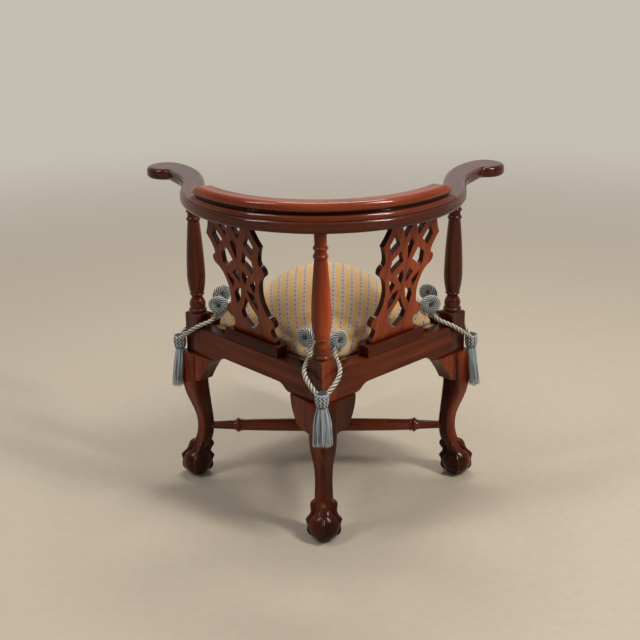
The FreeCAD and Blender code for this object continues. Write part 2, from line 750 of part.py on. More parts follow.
def make_stretcher():
    """Stretcher from the back leg to the front leg, before the crossing is halved."""
    reach = stretcher_reach()
    ring = STRETCHER_RING_PLACE
    end = STRETCHER_END_RADIUS
    waist = STRETCHER_WAIST_RADIUS
    big = STRETCHER_RING_RADIUS
    right = [
        (waist, ring - 8.0),
        (waist + 1.4, ring - 6.0, waist + 1.4, ring - 7.4),
        (waist, ring - 4.0),
        (waist, ring + 4.0, big, ring),
        (waist - 0.6, ring + 6.0),
        (end + 1.6, ring + 8.0),
        (end, reach - STRETCHER_BITE - 6.0),
        (end, reach),
    ]
    left = [(end, -reach)]
    left += [
        (end, -(reach - STRETCHER_BITE - 6.0)),
        (end + 1.6, -(ring + 8.0)),
        (waist - 0.6, -(ring + 6.0)),
        (waist, -(ring + 4.0)),
        (waist, -(ring - 4.0), big, -ring),
        (waist + 1.4, -(ring - 6.0)),
        (waist, -(ring - 8.0), waist + 1.4, -(ring - 7.4)),
    ]
    swell = STRETCHER_MIDDLE_RADIUS
    turning = lathe(left + [(waist, ring - 8.0, swell, 0.0)] + right[1:])
    turning.rotate(Vector(0, 0, 0), Vector(1, 0, 0), 90)
    turning.translate(Vector(0, 0, STRETCHER_HEIGHT))
    return turning


def make_stretchers():
    """The pair, halved where they cross: the fore one keeps its lower half there."""
    fore = make_stretcher()
    side = turned_about_z(fore, 90)
    crossing = fore.common(side)
    wide = 4.0 * STRETCHER_MIDDLE_RADIUS
    lower = box_between((-wide, -wide, STRETCHER_HEIGHT - wide), (wide, wide, STRETCHER_HEIGHT))
    upper = box_between((-wide, -wide, STRETCHER_HEIGHT), (wide, wide, STRETCHER_HEIGHT + wide))
    return fore.cut(crossing.common(upper)), side.cut(crossing.common(lower))


# Seat board and its corner blocks

def make_corner_block():
    """Glue block in the back corner, notched round the post."""
    tip = rail_inner * ROOT2
    run = CORNER_BLOCK_LEG / ROOT2
    low = board_bottom - CORNER_BLOCK_DEPTH
    outline = [(0.0, -tip), (run, -tip + run), (-run, -tip + run)]
    block = closed_prism(outline, lambda x, y: (x, y, low), (0, 0, CORNER_BLOCK_DEPTH))
    notch = corner_block_square(low - 1.0, board_bottom + 1.0)
    return block.cut([notch, corner_screw()])


def corner_screw():
    """Round-headed screw through the block into the post's inner arris."""
    start = rail_inner * ROOT2 - CORNER_BLOCK_LEG / ROOT2
    end = post_reach - POST_BLOCK / ROOT2 + CORNER_SCREW_BITE
    long = end - start
    screw = lathe([(0.5, -SCREW_HEAD_HEIGHT),
                   (SCREW_HEAD_RADIUS, 0, 0.75 * SCREW_HEAD_RADIUS, -0.75 * SCREW_HEAD_HEIGHT),
                   (CORNER_SCREW_RADIUS, 0), (CORNER_SCREW_RADIUS, long - 3.0), (0.4, long)])
    screw.rotate(Vector(0, 0, 0), Vector(1, 0, 0), 90)
    screw.translate(Vector(0, -start, board_bottom - CORNER_BLOCK_DEPTH / 2.0))
    return screw


def make_seat_board():
    half = rail_inner - BOARD_GAP
    board = box_between((-half, -half, board_bottom), (half, half, board_top))
    board.rotate(Vector(0, 0, 0), Vector(0, 0, 1), 45)
    reach = post_reach - POST_BLOCK / ROOT2 - BOARD_GAP
    trim = box_between((-reach, -reach, board_bottom - 1.0), (reach, reach, board_top + 1.0))
    return board.common(trim)


# Loose cushion: crowned, drawn in at the sides and at its foot

def cushion_section(half, corner, drawn, height):
    """Rounded square with its sides pulled in, square to the rails."""
    edges = []
    flat = half - corner
    bulge = flat + corner / ROOT2
    for quarter in range(4):
        pieces = [arc((half, flat, height), (bulge, bulge, height), (flat, half, height)),
                  arc((flat, half, height), (0.0, half - drawn, height), (-flat, half, height))]
        edges += [turned_about_z(piece, 90.0 * quarter) for piece in pieces]
    return turned_about_z(Part.Wire(edges), 45)


def make_cushion():
    """Dome over a tucked-in foot; its corners stay fuller than its sides up to half its height."""
    wide = rail_inner - CUSHION_GAP
    seam = board_top + CUSHION_SEAM
    sections = []
    for step in range(CUSHION_FOOT_STEPS + 1):
        share = step / CUSHION_FOOT_STEPS
        inset = CUSHION_TUCK * (1.0 - math.sqrt(1.0 - (1.0 - share) ** 2))
        height = board_top + share * CUSHION_SEAM
        sections.append(cushion_section(wide - inset, CUSHION_CORNER, CUSHION_DRAWN_IN, height))
    for step in range(1, CUSHION_CROWN_STEPS + 1):
        level = CUSHION_TOP_LEVEL * math.sin(math.pi / 2.0 * step / CUSHION_CROWN_STEPS)
        fullness = 0.5 + 0.5 * (1.0 - level) ** 1.5
        half = wide * (1.0 - level ** (1.0 / CUSHION_EASE)) ** (1.0 / CUSHION_SWELL)
        tip = wide * (1.0 - level ** (fullness / CUSHION_EASE)) ** (1.0 / CUSHION_SWELL)
        corner = max(half - tip, 0.06 * half) / (1.0 - 1.0 / ROOT2)
        drawn = CUSHION_DRAWN_IN * (1.0 - level)
        sections.append(cushion_section(half, corner, drawn, seam + level * CUSHION_RISE))
    return Part.makeLoft(sections, True, True)


# Ties: a coiled rosette on each side of a post, two ropes, a knot and a tassel

ROPE_ROUTE = [          # aside from the corner's middle, from the chair's centre, height; the right-hand rope
    (18.95, 187.9, 330.0),
    (18.95, 187.9, 322.5),
    (19.4, 189.6, 314.8),
    (21.0, 195.4, 308.2),
    (23.9, 204.4, 304.0),
    (26.9, 214.4, 301.2),
    (28.6, 224.8, 296.8),
    (27.0, 234.6, 290.0),
    (21.6, 243.4, 282.6),
    (14.6, 250.8, 275.6),
    (7.6, 256.8, 268.4),
]


def rounded_route(points, name):
    """Straight runs joined by tangent arcs, each as large as its two runs allow."""
    spots = [Vector(*p) for p in points]
    edges = []
    radii = []
    last = spots[0]
    for before, spot, after in zip(spots, spots[1:], spots[2:]):
        back = before - spot
        ahead = after - spot
        reach = 0.45 * min(back.Length, ahead.Length)
        turn = math.pi - back.getAngle(ahead)
        radius = reach / math.tan(turn / 2.0)
        radii.append(radius)
        start = spot + back.normalize() * reach
        end = spot + ahead.normalize() * reach
        inwards = (start + end) * 0.5 - spot
        depth = radius * (1.0 / math.cos(turn / 2.0) - 1.0)
        middle = spot + inwards.normalize() * depth
        edges.append(Part.LineSegment(last, start).toShape())
        edges.append(Part.Arc(start, middle, end).toShape())
        last = end
    edges.append(Part.LineSegment(last, spots[-1]).toShape())
    print(name, "bend radii", [round(radius, 1) for radius in radii])
    return Part.Wire(edges)


def tube_along(path, radius, name):
    """Round tube along a wire, with its volume set against section times length."""
    first = path.OrderedEdges[0]
    start = first.valueAt(first.FirstParameter)
    along = first.tangentAt(first.FirstParameter)
    ring = Part.Wire([Part.Circle(start, along, radius).toShape()])
    tube = path.makePipeShell([ring], True, False)
    wanted = math.pi * radius ** 2 * path.Length
    print(name, "length", round(path.Length, 1), "volume share", round(tube.Volume / wanted, 4))
    return tube


def make_rope():
    """Right-hand rope of the back tie."""
    route = [(aside, -reach, height) for aside, reach, height in ROPE_ROUTE]
    return tube_along(rounded_route(route, "rope"), ROPE_RADIUS, "rope")


def make_rosette():
    """Right-hand rosette of the back tie: one tube wound outwards in half turns."""
    turn = math.radians(ROSETTE_TURN)
    across = Vector(math.cos(turn), math.sin(turn), 0)
    up = Vector(0, 0, 1)
    pitch = 2.0 * ROPE_RADIUS + COIL_GAP
    centre = Vector(ROSETTE_ASIDE, -ROSETTE_REACH, ROSETTE_HEIGHT)

    def spot(aside, rise):
        return centre + across * aside + up * rise

    outer = COIL_INNER_RADIUS + pitch / 2.0
    inner = COIL_INNER_RADIUS
    middle = pitch / 2.0            # the inner half turn's centre, beside the outer one's
    tail = ROPE_ROUTE[0][2]
    edges = [
        Part.Arc(spot(middle - inner, 0), spot(middle, -inner), spot(middle + inner, 0)).toShape(),
        Part.Arc(spot(outer, 0), spot(0, outer), spot(-outer, 0)).toShape(),
        Part.LineSegment(spot(-outer, 0), spot(-outer, tail - ROSETTE_HEIGHT)).toShape(),
    ]
    path = Part.Wire(edges)
    points = path.discretize(Number=240)
    apart = 2.5 * ROPE_RADIUS * math.pi
    step = path.Length / 239.0
    skip = int(apart / step) + 1
    least = min((points[i] - later).Length for i in range(240) for later in points[i + skip:])
    print("rosette least gap to itself", round(least - 2.0 * ROPE_RADIUS, 2))
    return tube_along(path, ROPE_RADIUS, "rosette")


def make_knot(ropes):
    """Barrel-shaped woven knot over the seat corner, hollowed for the ropes and the tassel's neck."""
    low = KNOT_BOTTOM
    wide = KNOT_RADIUS
    top = low + KNOT_HEIGHT
    knot = lathe([(wide - KNOT_TAPER, low), (wide - 0.4 * KNOT_TAPER, top, wide, low + 0.6 * KNOT_HEIGHT)])
    cup = Part.makeSphere(TASSEL_NECK_RADIUS + FREE_GAP)
    mouth = Part.makeCone(2.0 * TASSEL_NECK_RADIUS, TASSEL_NECK_RADIUS, 0.8 * TASSEL_NECK_RADIUS)
    for hollow in (cup, mouth):
        hollow.translate(Vector(0, 0, low))
    knot = knot.cut([cup, mouth])
    knot.translate(Vector(0, -KNOT_REACH, 0))
    return knot.cut(ropes)


def make_tassel():
    """Thread skirt that hangs from the knot and lies over the knee."""
    neck = TASSEL_NECK_RADIUS
    bell = 1.35 * TASSEL_TOP_RADIUS
    x = Vector(1, 0, 0)
    y = Vector(0, 1, 0)
    middle = 0.55 * TASSEL_TOP_RADIUS + 0.45 * TASSEL_HALF_WIDTH
    stations = [(-0.7 * neck, 0.7 * neck, 0.7 * neck),
                (0.0, neck, neck),
                (0.35 * bell, neck, neck),
                (bell, TASSEL_TOP_RADIUS, TASSEL_TOP_RADIUS),
                (0.5 * (bell + TASSEL_LENGTH), middle, TASSEL_HALF_DEPTH),
                (TASSEL_LENGTH, TASSEL_HALF_WIDTH, TASSEL_HALF_DEPTH)]
    sections = [ring_section(Vector(0, 0, -drop), x, y, wide, deep) for drop, wide, deep in stations]
    tassel = Part.makeLoft(sections, True, True)
    tassel.rotate(Vector(0, 0, 0), Vector(1, 0, 0), -TASSEL_LEAN)
    tassel.translate(Vector(0, -KNOT_REACH, KNOT_BOTTOM))
    return tassel.cut(leg_shank(FREE_GAP))


# The whole chair, one solid or group of solids per piece

def build():
    parts = {}
    leg = make_leg(False)
    post = make_post().cut(corner_screw())
    for name in POSTED:
        parts[name + "_leg"] = turned_about_z(leg, CORNERS[name])
        parts[name + "_post"] = turned_about_z(post, CORNERS[name])
    parts["front_leg"] = turned_about_z(make_leg(True).cut(corner_screw()), CORNERS["front"])

    for name, angle in CORNERS.items():
        bracket = make_bracket(*(BACK_BRACKET if name == "back" else SIDE_BRACKET))
        right_bracket = turned_about_z(bracket, 45)
        left_bracket = mirrored_x(right_bracket)
        parts[name + "_bracket_right"] = turned_about_z(right_bracket, angle)
        parts[name + "_bracket_left"] = turned_about_z(left_bracket, angle)

    rail = make_rail()
    for name, angle in SIDES.items():
        parts["rail_" + name] = turned_about_z(rail, angle)

    arm = make_arm()
    parts["arm_right"] = arm
    parts["arm_left"] = mirrored_x(arm)
    parts["crest"] = make_crest()
    parts["crest_screws"] = Part.makeCompound(crest_screws())

    splat = make_splat()
    shoe = make_shoe()
    for name in ("right", "left"):
        angle = SIDES["back_" + name]
        parts["splat_" + name] = turned_about_z(splat, angle)
        parts["shoe_" + name] = turned_about_z(shoe, angle)

    parts["stretcher_fore"], parts["stretcher_side"] = make_stretchers()

    corner_block = make_corner_block()
    for name, angle in CORNERS.items():
        parts["corner_block_" + name] = turned_about_z(corner_block, angle)
    parts["corner_screws"] = Part.makeCompound([turned_about_z(corner_screw(), a) for a in CORNERS.values()])
    parts["seat_board"] = make_seat_board()
    parts["cushion"] = make_cushion()

    rope = make_rope()
    rosette = make_rosette()
    ropes = {"right": rope, "left": mirrored_x(rope)}
    rosettes = {"right": rosette, "left": mirrored_x(rosette)}
    knot = make_knot(list(ropes.values()))
    tassel = make_tassel()
    for name in POSTED:
        angle = CORNERS[name]
        for hand in ("right", "left"):
            parts[name + "_rope_" + hand] = turned_about_z(ropes[hand], angle)
            parts[name + "_rosette_" + hand] = turned_about_z(rosettes[hand], angle)
        parts[name + "_knot"] = turned_about_z(knot, angle)
        parts[name + "_tassel"] = turned_about_z(tassel, angle)
    return parts


os.makedirs("parts", exist_ok=True)
for node, shape in build().items():
    shape.exportStep("parts/" + node + ".step")
    print(node, "solids", len(shape.Solids), "volume", round(shape.Volume), "valid", shape.isValid())
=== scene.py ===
import json
import math

import bpy
import numpy as np
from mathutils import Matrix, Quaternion, Vector
from mathutils.bvhtree import BVHTree


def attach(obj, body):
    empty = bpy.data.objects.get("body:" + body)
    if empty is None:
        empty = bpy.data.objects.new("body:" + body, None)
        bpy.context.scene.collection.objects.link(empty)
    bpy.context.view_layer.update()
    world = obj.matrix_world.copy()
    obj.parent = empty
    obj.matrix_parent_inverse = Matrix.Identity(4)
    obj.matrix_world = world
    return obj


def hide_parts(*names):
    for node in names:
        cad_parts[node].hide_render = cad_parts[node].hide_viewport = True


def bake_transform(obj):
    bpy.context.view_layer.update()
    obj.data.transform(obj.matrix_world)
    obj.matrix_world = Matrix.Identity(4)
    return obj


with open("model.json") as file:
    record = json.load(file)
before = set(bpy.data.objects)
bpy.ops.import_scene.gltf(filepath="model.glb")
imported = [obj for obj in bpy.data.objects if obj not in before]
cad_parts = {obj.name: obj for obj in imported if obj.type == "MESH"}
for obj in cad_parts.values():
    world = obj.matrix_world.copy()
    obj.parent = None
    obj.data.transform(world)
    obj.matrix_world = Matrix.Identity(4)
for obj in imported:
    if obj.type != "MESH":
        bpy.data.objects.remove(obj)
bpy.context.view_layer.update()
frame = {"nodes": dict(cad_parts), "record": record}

scene = bpy.context.scene
scene.view_settings.view_transform = "Standard"
cad = frame["nodes"]
tiedCorners = {"back": 0.0, "right": 90.0, "left": 270.0}  # degrees round from the back
chairBody = "chair"


# Short ways to add shader nodes: addNode returns the node, the others what comes out of it

def addNode(tree, kind, inputs=None, **settings):
    node = tree.nodes.new(kind)
    for key, value in settings.items():
        setattr(node, key, value)
    for key, value in (inputs or {}).items():
        if isinstance(value, bpy.types.NodeSocket):
            tree.links.new(value, node.inputs[key])
        else:
            node.inputs[key].default_value = value
    return node


def reckon(tree, operation, first, second=None, **settings):
    inputs = {0: first} if second is None else {0: first, 1: second}
    return addNode(tree, "ShaderNodeMath", inputs, operation=operation, **settings).outputs[0]


def times(tree, first, second):
    return reckon(tree, "MULTIPLY", first, second)


def ranged(tree, value, low=0.0, high=1.0, start=0.0, end=1.0, smooth=False):
    inputs = {0: value, 1: low, 2: high, 3: start, 4: end}
    shape = "SMOOTHSTEP" if smooth else "LINEAR"
    return addNode(tree, "ShaderNodeMapRange", inputs, interpolation_type=shape).outputs[0]


def blended(tree, share, first, second):
    return addNode(tree, "ShaderNodeMix", {0: share, 6: first, 7: second}, data_type="RGBA").outputs[2]


def scaled(tree, color, factor):
    return addNode(tree, "ShaderNodeVectorMath", {0: color, "Scale": factor}, operation="SCALE").outputs[0]


def parted(tree, vector):
    return addNode(tree, "ShaderNodeSeparateXYZ", {0: vector}).outputs


def vectorLength(tree, vector):
    return addNode(tree, "ShaderNodeVectorMath", {0: vector}, operation="LENGTH").outputs["Value"]


def noised(tree, place, scale, detail, distortion=0.0):
    inputs = {"Vector": place, "Scale": scale, "Detail": detail, "Distortion": distortion}
    return addNode(tree, "ShaderNodeTexNoise", inputs).outputs[0]


# Painted shade: darkens the colour in hollows and corners by ambient occlusion
def paintedHollowShade(tree, reach, low, high, darkest):
    hollows = addNode(tree, "ShaderNodeAmbientOcclusion", {"Distance": reach}, samples=6)
    return ranged(tree, hollows.outputs["AO"], low, high, darkest, 1.0)


def bumped(tree, height, strength, distance):
    inputs = {"Height": height, "Strength": strength, "Distance": distance}
    return addNode(tree, "ShaderNodeBump", inputs).outputs[0]


def attribute(tree, name, output):
    return addNode(tree, "ShaderNodeAttribute", attribute_name=name).outputs[output]


def objectCoords(tree):
    return addNode(tree, "ShaderNodeTexCoord").outputs["Object"]


def faceNormal(tree):
    return addNode(tree, "ShaderNodeNewGeometry").outputs["Normal"]


def newMaterial(name):
    material = bpy.data.materials.new(name)
    material.use_nodes = True
    return material, material.node_tree, material.node_tree.nodes["Principled BSDF"]


# Studio: camera at the photograph's angle, soft lamps, pale floor

cameraSpec = {
    "place": (0.0453, -1.9505, 1.0170),
    "aim": (-0.0259, 0.9382, -0.3453),
    "rollDegrees": -0.79,
    "lens": 66.3,
    "sensorWidth": 36.0,
    "clipEnd": 250.0,
}

lampSpec = {
    # name: place, point it looks at, width and height, watts, colour
    "ceilingBehind": ((0.1, 0.9, 2.5), (0.0, 0.0, 0.3), (1.2, 0.35), 30.0, (1.0, 0.98, 0.95)),
    "ceilingRight": ((1.5, -1.0, 2.3), (0.0, 0.0, 0.3), (0.30, 1.3), 52.0, (1.0, 0.96, 0.90)),
    "ceilingLeft": ((-1.5, -0.8, 2.3), (0.0, 0.0, 0.3), (0.30, 1.3), 20.0, (0.98, 0.98, 1.0)),
}

worldSpec = {
    "camera": 0.12, "wall": 0.60, "top": 0.42,  # strength behind the camera, ahead of it and overhead
    "wallRange": (-0.6, 0.9), "topRange": (0.25, 0.80),
    "tint": (1.0, 0.985, 0.965, 1.0),
}

floorSpec = {
    "size": 160.0,
    "color": (0.445, 0.387, 0.308, 1.0), "fleck": (0.400, 0.343, 0.267, 1.0),
    "fleckScale": 60.0, "fleckDetail": 4.0,
    "roughness": 0.9, "gloss": 0.1,
    "far": (0.56, 0.515, 0.445, 1.0),  # shown to the camera away from the chair, where the lamps fade
    "fadeStart": 0.9, "fadeEnd": 3.2,
}


def makeCamera(spec):
    data = bpy.data.cameras.new("camera")
    data.lens = spec["lens"]
    data.sensor_width = spec["sensorWidth"]
    data.clip_end = spec["clipEnd"]
    camera = bpy.data.objects.new("camera", data)
    turn = Vector(spec["aim"]).to_track_quat("-Z", "Y")
    roll = Quaternion((0.0, 0.0, 1.0), math.radians(spec["rollDegrees"]))
    camera.rotation_mode = "QUATERNION"
    camera.rotation_quaternion = turn @ roll
    camera.location = spec["place"]
    scene.collection.objects.link(camera)
    scene.camera = camera


def makeLamps(spec):
    for name, (place, target, size, watts, color) in spec.items():
        data = bpy.data.lights.new(name, "AREA")
        data.shape = "RECTANGLE"
        data.size, data.size_y = size
        data.energy = watts
        data.color = color
        lamp = bpy.data.objects.new(name, data)
        lamp.location = place
        lamp.rotation_euler = (Vector(target) - Vector(place)).to_track_quat("-Z", "Y").to_euler()
        scene.collection.objects.link(lamp)


def makeWorld(spec):
    world = bpy.data.worlds.new("softRoom")
    world.use_nodes = True
    tree = world.node_tree
    way = parted(tree, addNode(tree, "ShaderNodeTexCoord").outputs["Generated"])
    low = ranged(tree, way["Y"], *spec["wallRange"], spec["camera"], spec["wall"])
    rise = ranged(tree, way["Z"], *spec["topRange"], smooth=True)
    level = addNode(tree, "ShaderNodeMix", {0: rise, 2: low, 3: spec["top"]}).outputs[0]
    back = tree.nodes["Background"]
    back.inputs["Color"].default_value = spec["tint"]
    tree.links.new(level, back.inputs["Strength"])
    scene.world = world


def makeFloor(spec):
    half = spec["size"] / 2.0
    corners = [(-half, -half, 0), (half, -half, 0), (half, half, 0), (-half, half, 0)]
    mesh = bpy.data.meshes.new("floor")
    mesh.from_pydata(corners, [], [(0, 1, 2, 3)])
    floor = bpy.data.objects.new("floor", mesh)
    scene.collection.objects.link(floor)
    material, tree, shader = newMaterial("paleFloor")
    coords = objectCoords(tree)
    flecks = noised(tree, coords, spec["fleckScale"], spec["fleckDetail"])
    tree.links.new(blended(tree, flecks, spec["fleck"], spec["color"]), shader.inputs["Base Color"])
    shader.inputs["Roughness"].default_value = spec["roughness"]
    shader.inputs["Specular IOR Level"].default_value = spec["gloss"]
    fade = ranged(tree, vectorLength(tree, coords), spec["fadeStart"], spec["fadeEnd"], smooth=True)
    path = addNode(tree, "ShaderNodeLightPath").outputs
    seen = reckon(tree, "ADD", path["Is Camera Ray"], path["Is Glossy Ray"], use_clamp=True)
    glow = addNode(tree, "ShaderNodeEmission", {"Color": spec["far"]}).outputs[0]
    inputs = {0: times(tree, seen, fade), 1: shader.outputs[0], 2: glow}
    both = addNode(tree, "ShaderNodeMixShader", inputs).outputs[0]
    tree.links.new(both, tree.nodes["Material Output"].inputs["Surface"])
    mesh.materials.append(material)


makeCamera(cameraSpec)
makeLamps(lampSpec)
makeWorld(worldSpec)
makeFloor(floorSpec)
print("studio ready")


# Mahogany: streaked red-brown wood under a polish, each kind of piece in its own tone, which holds its stain
# and also painted light and shade

mahoganySpec = {
    "dark": (0.075, 0.0092, 0.0022, 1.0),
    "middle": (0.190, 0.0280, 0.0058, 1.0),
    "light": (0.315, 0.0590, 0.0125, 1.0),
    "stops": (0.36, 0.50, 0.66),  # of the three colours in the figure
    # stretch along and across the grain, detail, distortion
    "streak": ((3.0, 55.0, 55.0), 6.0, 0.6),
    "ribbon": ((7.0, 16.0, 16.0), 2.0, 0.0),
    "pore": ((110.0, 1500.0, 1500.0), 2.0, 0.0),
    "ribbonShare": 0.35,
    "poreRange": (0.56, 0.70), "poreShade": 0.62, "poreStrength": 0.05, "poreDepth": 0.0004,
    "paintedCornerShade": (0.012, 0.15, 0.80, 0.18),  # painted shade in corners and hollows: reach, range, darkest share
    "roughness": (0.20, 0.36),
    "gloss": 0.10,
    "coat": 0.45,
    "coatRoughness": 0.05,
    "bendRadius": 0.22,  # of the horseshoe, for grain that follows it
    "softEdge": 0.0009,
    "sawnRange": (0.55, 0.90), "paintedPiercingShade": 0.16,  # the walls of the piercings are darkened nearly black: painted shade
    "sideRange": (-0.7, 0.7), "topRange": (0.4, 0.9),  # of the face's direction
    # darker lower down, painted shade on the feet, the post's foot and the crest's step under its roll: from
    # this height, up to that, share of the tone
    "shade": {"Leg": (0.02, 0.13, 0.38), "LeftLeg": (0.02, 0.13, 0.40), "RightLeg": (0.02, 0.13, 0.40),
              "BackLeg": (0.02, 0.13, 0.45), "BackPost": (0.335, 0.365, 0.42),
              "Crest": (0.5560, 0.5580, 0.62)},
    # painted shade in the crest's cove: height, half of the darkest width and of the whole, share of the tone
    "hollow": {"Crest": (0.5553, 0.0012, 0.0040, 0.10)},
    # painted light and shade that differ from side to side, on the back leg also its stain: share of the tone
    # on faces towards the left, towards the right
    "sides": {"BackLeg": (1.45, 0.50), "BackPost": (0.48, 1.38),
              "LeftLeg": (1.55, 0.62), "RightLeg": (0.62, 1.55)},
    "paintedTopShade": {"RailRight": 0.85, "RailLeft": 0.30},  # painted shade on faces that look up: share of the tone on them
    "coatOf": {"RailRight": 0.16, "RailLeft": 0.16, "BackLeg": 0.16, "SplatRight": 0.16, "SplatLeft": 0.16,
               "BackPost": 0.30, "LeftPost": 0.36, "RightPost": 0.36,
               "Leg": 0.20, "LeftLeg": 0.20, "RightLeg": 0.20, "ShoeRight": 0.14, "ShoeLeft": 0.08},
}

woodSpec = {
    # start of the nodes' names: material, way of the grain, tone (stain and painted light and shade), way
    # that the uncut faces look
    # painted light and shade in the tones: the back post and the right splat lighter, the side posts, the
    # left splat and the shoes darker
    "crest": ("Crest", "bend", 0.95, None),
    "arm": ("Arm", "bend", 0.28, None),
    "back_post": ("BackPost", (0, 0, 1), 1.38, None),
    "left_post": ("LeftPost", (0, 0, 1), 0.37, None),
    "right_post": ("RightPost", (0, 0, 1), 0.24, None),
    "splat_right": ("SplatRight", (0.16, -0.16, 0.97), 1.15, (0.69, -0.69, -0.22)),
    "splat_left": ("SplatLeft", (-0.16, -0.16, 0.97), 0.70, (-0.69, -0.69, -0.22)),
    "rail_back_right": ("RailRight", (1, 1, 0), 0.45, None),
    "rail_front_left": ("RailRight", (1, 1, 0), 0.45, None),
    "shoe_right": ("ShoeRight", (1, 1, 0), 0.30, None),
    "rail_back_left": ("RailLeft", (1, -1, 0), 0.45, None),
    "rail_front_right": ("RailLeft", (1, -1, 0), 0.45, None),
    "shoe_left": ("ShoeLeft", (1, -1, 0), 0.17, None),
    "stretcher_fore": ("Fore", (0, 1, 0), 0.58, None),
    "stretcher_side": ("Side", (1, 0, 0), 0.58, None),
    "back_leg": ("BackLeg", (0, 0, 1), 0.40, None),
    "back_bracket": ("BackLeg", (0, 0, 1), 0.40, None),
    "left_leg": ("LeftLeg", (0, 0, 1), 0.55, None),
    "left_bracket": ("LeftLeg", (0, 0, 1), 0.55, None),
    "right_leg": ("RightLeg", (0, 0, 1), 0.55, None),
    "right_bracket": ("RightLeg", (0, 0, 1), 0.55, None),
    "": ("Leg", (0, 0, 1), 0.50, None),
}


def mahoganyGroup(spec):
    tree = bpy.data.node_groups.new("mahoganyGrain", "ShaderNodeTree")
    for name, kind in (("Grain", "Vector"), ("Tone", "Float")):
        tree.interface.new_socket(name, in_out="INPUT", socket_type="NodeSocket" + kind)
    for name, kind in (("Color", "Color"), ("Roughness", "Float"), ("Relief", "Float")):
        tree.interface.new_socket(name, in_out="OUTPUT", socket_type="NodeSocket" + kind)
    given = addNode(tree, "NodeGroupInput").outputs
    ends = addNode(tree, "NodeGroupOutput").inputs

    def stretched(stretch, detail, distortion):
        inputs = {0: given["Grain"], 1: stretch}
        place = addNode(tree, "ShaderNodeVectorMath", inputs, operation="MULTIPLY").outputs[0]
        return noised(tree, place, 1.0, detail, distortion)

    streak = stretched(*spec["streak"])
    ribbon = stretched(*spec["ribbon"])
    pore = ranged(tree, stretched(*spec["pore"]), *spec["poreRange"])
    figure = addNode(tree, "ShaderNodeMix", {0: spec["ribbonShare"], 2: streak, 3: ribbon}).outputs[0]
    ramp = addNode(tree, "ShaderNodeValToRGB", {0: figure})
    first, between, last = spec["stops"]
    stops = ramp.color_ramp.elements
    stops[0].position = first
    stops[0].color = spec["dark"]
    stops[1].position = last
    stops[1].color = spec["light"]
    stops.new(between).color = spec["middle"]
    poreShade = ranged(tree, pore, start=1.0, end=spec["poreShade"])
    # pores darken the grain; painted shade darkens corners and hollows
    shade = times(tree, poreShade, paintedHollowShade(tree, *spec["paintedCornerShade"]))
    smooth, rough = spec["roughness"]
    tree.links.new(scaled(tree, ramp.outputs[0], times(tree, shade, given["Tone"])), ends["Color"])
    tree.links.new(ranged(tree, ribbon, start=smooth, end=rough), ends["Roughness"])
    tree.links.new(pore, ends["Relief"])
    return tree


mahoganyTree = mahoganyGroup(mahoganySpec)
mahoganyMade = {}


def bentGrain(tree, coords):
    at = parted(tree, coords)
    angle = reckon(tree, "ARCTAN2", at["X"], times(tree, at["Y"], -1.0))
    flat = addNode(tree, "ShaderNodeCombineXYZ", {0: at["X"], 1: at["Y"]}).outputs[0]
    inputs = {0: times(tree, angle, mahoganySpec["bendRadius"]), 1: vectorLength(tree, flat), 2: at["Z"]}
    return addNode(tree, "ShaderNodeCombineXYZ", inputs).outputs[0]


# the piece's tone with painted light and shade: piercing walls, tops, lower parts and the cove darker, sides
# lighter or darker
def toneWithPaintedLight(tree, name, coords, tone, faceWay):
    spec = mahoganySpec
    # painted shade: the walls of the piercings darkened nearly black
    if faceWay:
        inputs = {0: faceNormal(tree), 1: faceWay}
        facing = addNode(tree, "ShaderNodeVectorMath", inputs, operation="DOT_PRODUCT").outputs["Value"]
        uncut = reckon(tree, "ABSOLUTE", facing)
        return ranged(tree, uncut, *spec["sawnRange"], spec["paintedPiercingShade"] * tone, tone)
    # painted shade on the tops of the rails
    if name in spec["paintedTopShade"]:
        upward = parted(tree, faceNormal(tree))["Z"]
        return ranged(tree, upward, *spec["topRange"], tone, tone * spec["paintedTopShade"][name])
    if name not in spec["shade"]:
        return tone
    # painted shade: darker below the given height
    start, end, share = spec["shade"][name]
    height = parted(tree, coords)["Z"]
    shaded = ranged(tree, height, start, end, tone * share, tone)
    # painted light and shade: one side lighter, the other darker
    if name in spec["sides"]:
        aside = parted(tree, faceNormal(tree))["X"]
        shaded = times(tree, shaded, ranged(tree, aside, *spec["sideRange"], *spec["sides"][name]))
    # painted shade in the crest's cove
    if name in spec["hollow"]:
        middle, dark, wide, share = spec["hollow"][name]
        away = reckon(tree, "ABSOLUTE", reckon(tree, "SUBTRACT", height, middle))
        shaded = times(tree, shaded, ranged(tree, away, dark, wide, share, 1.0))
    return shaded


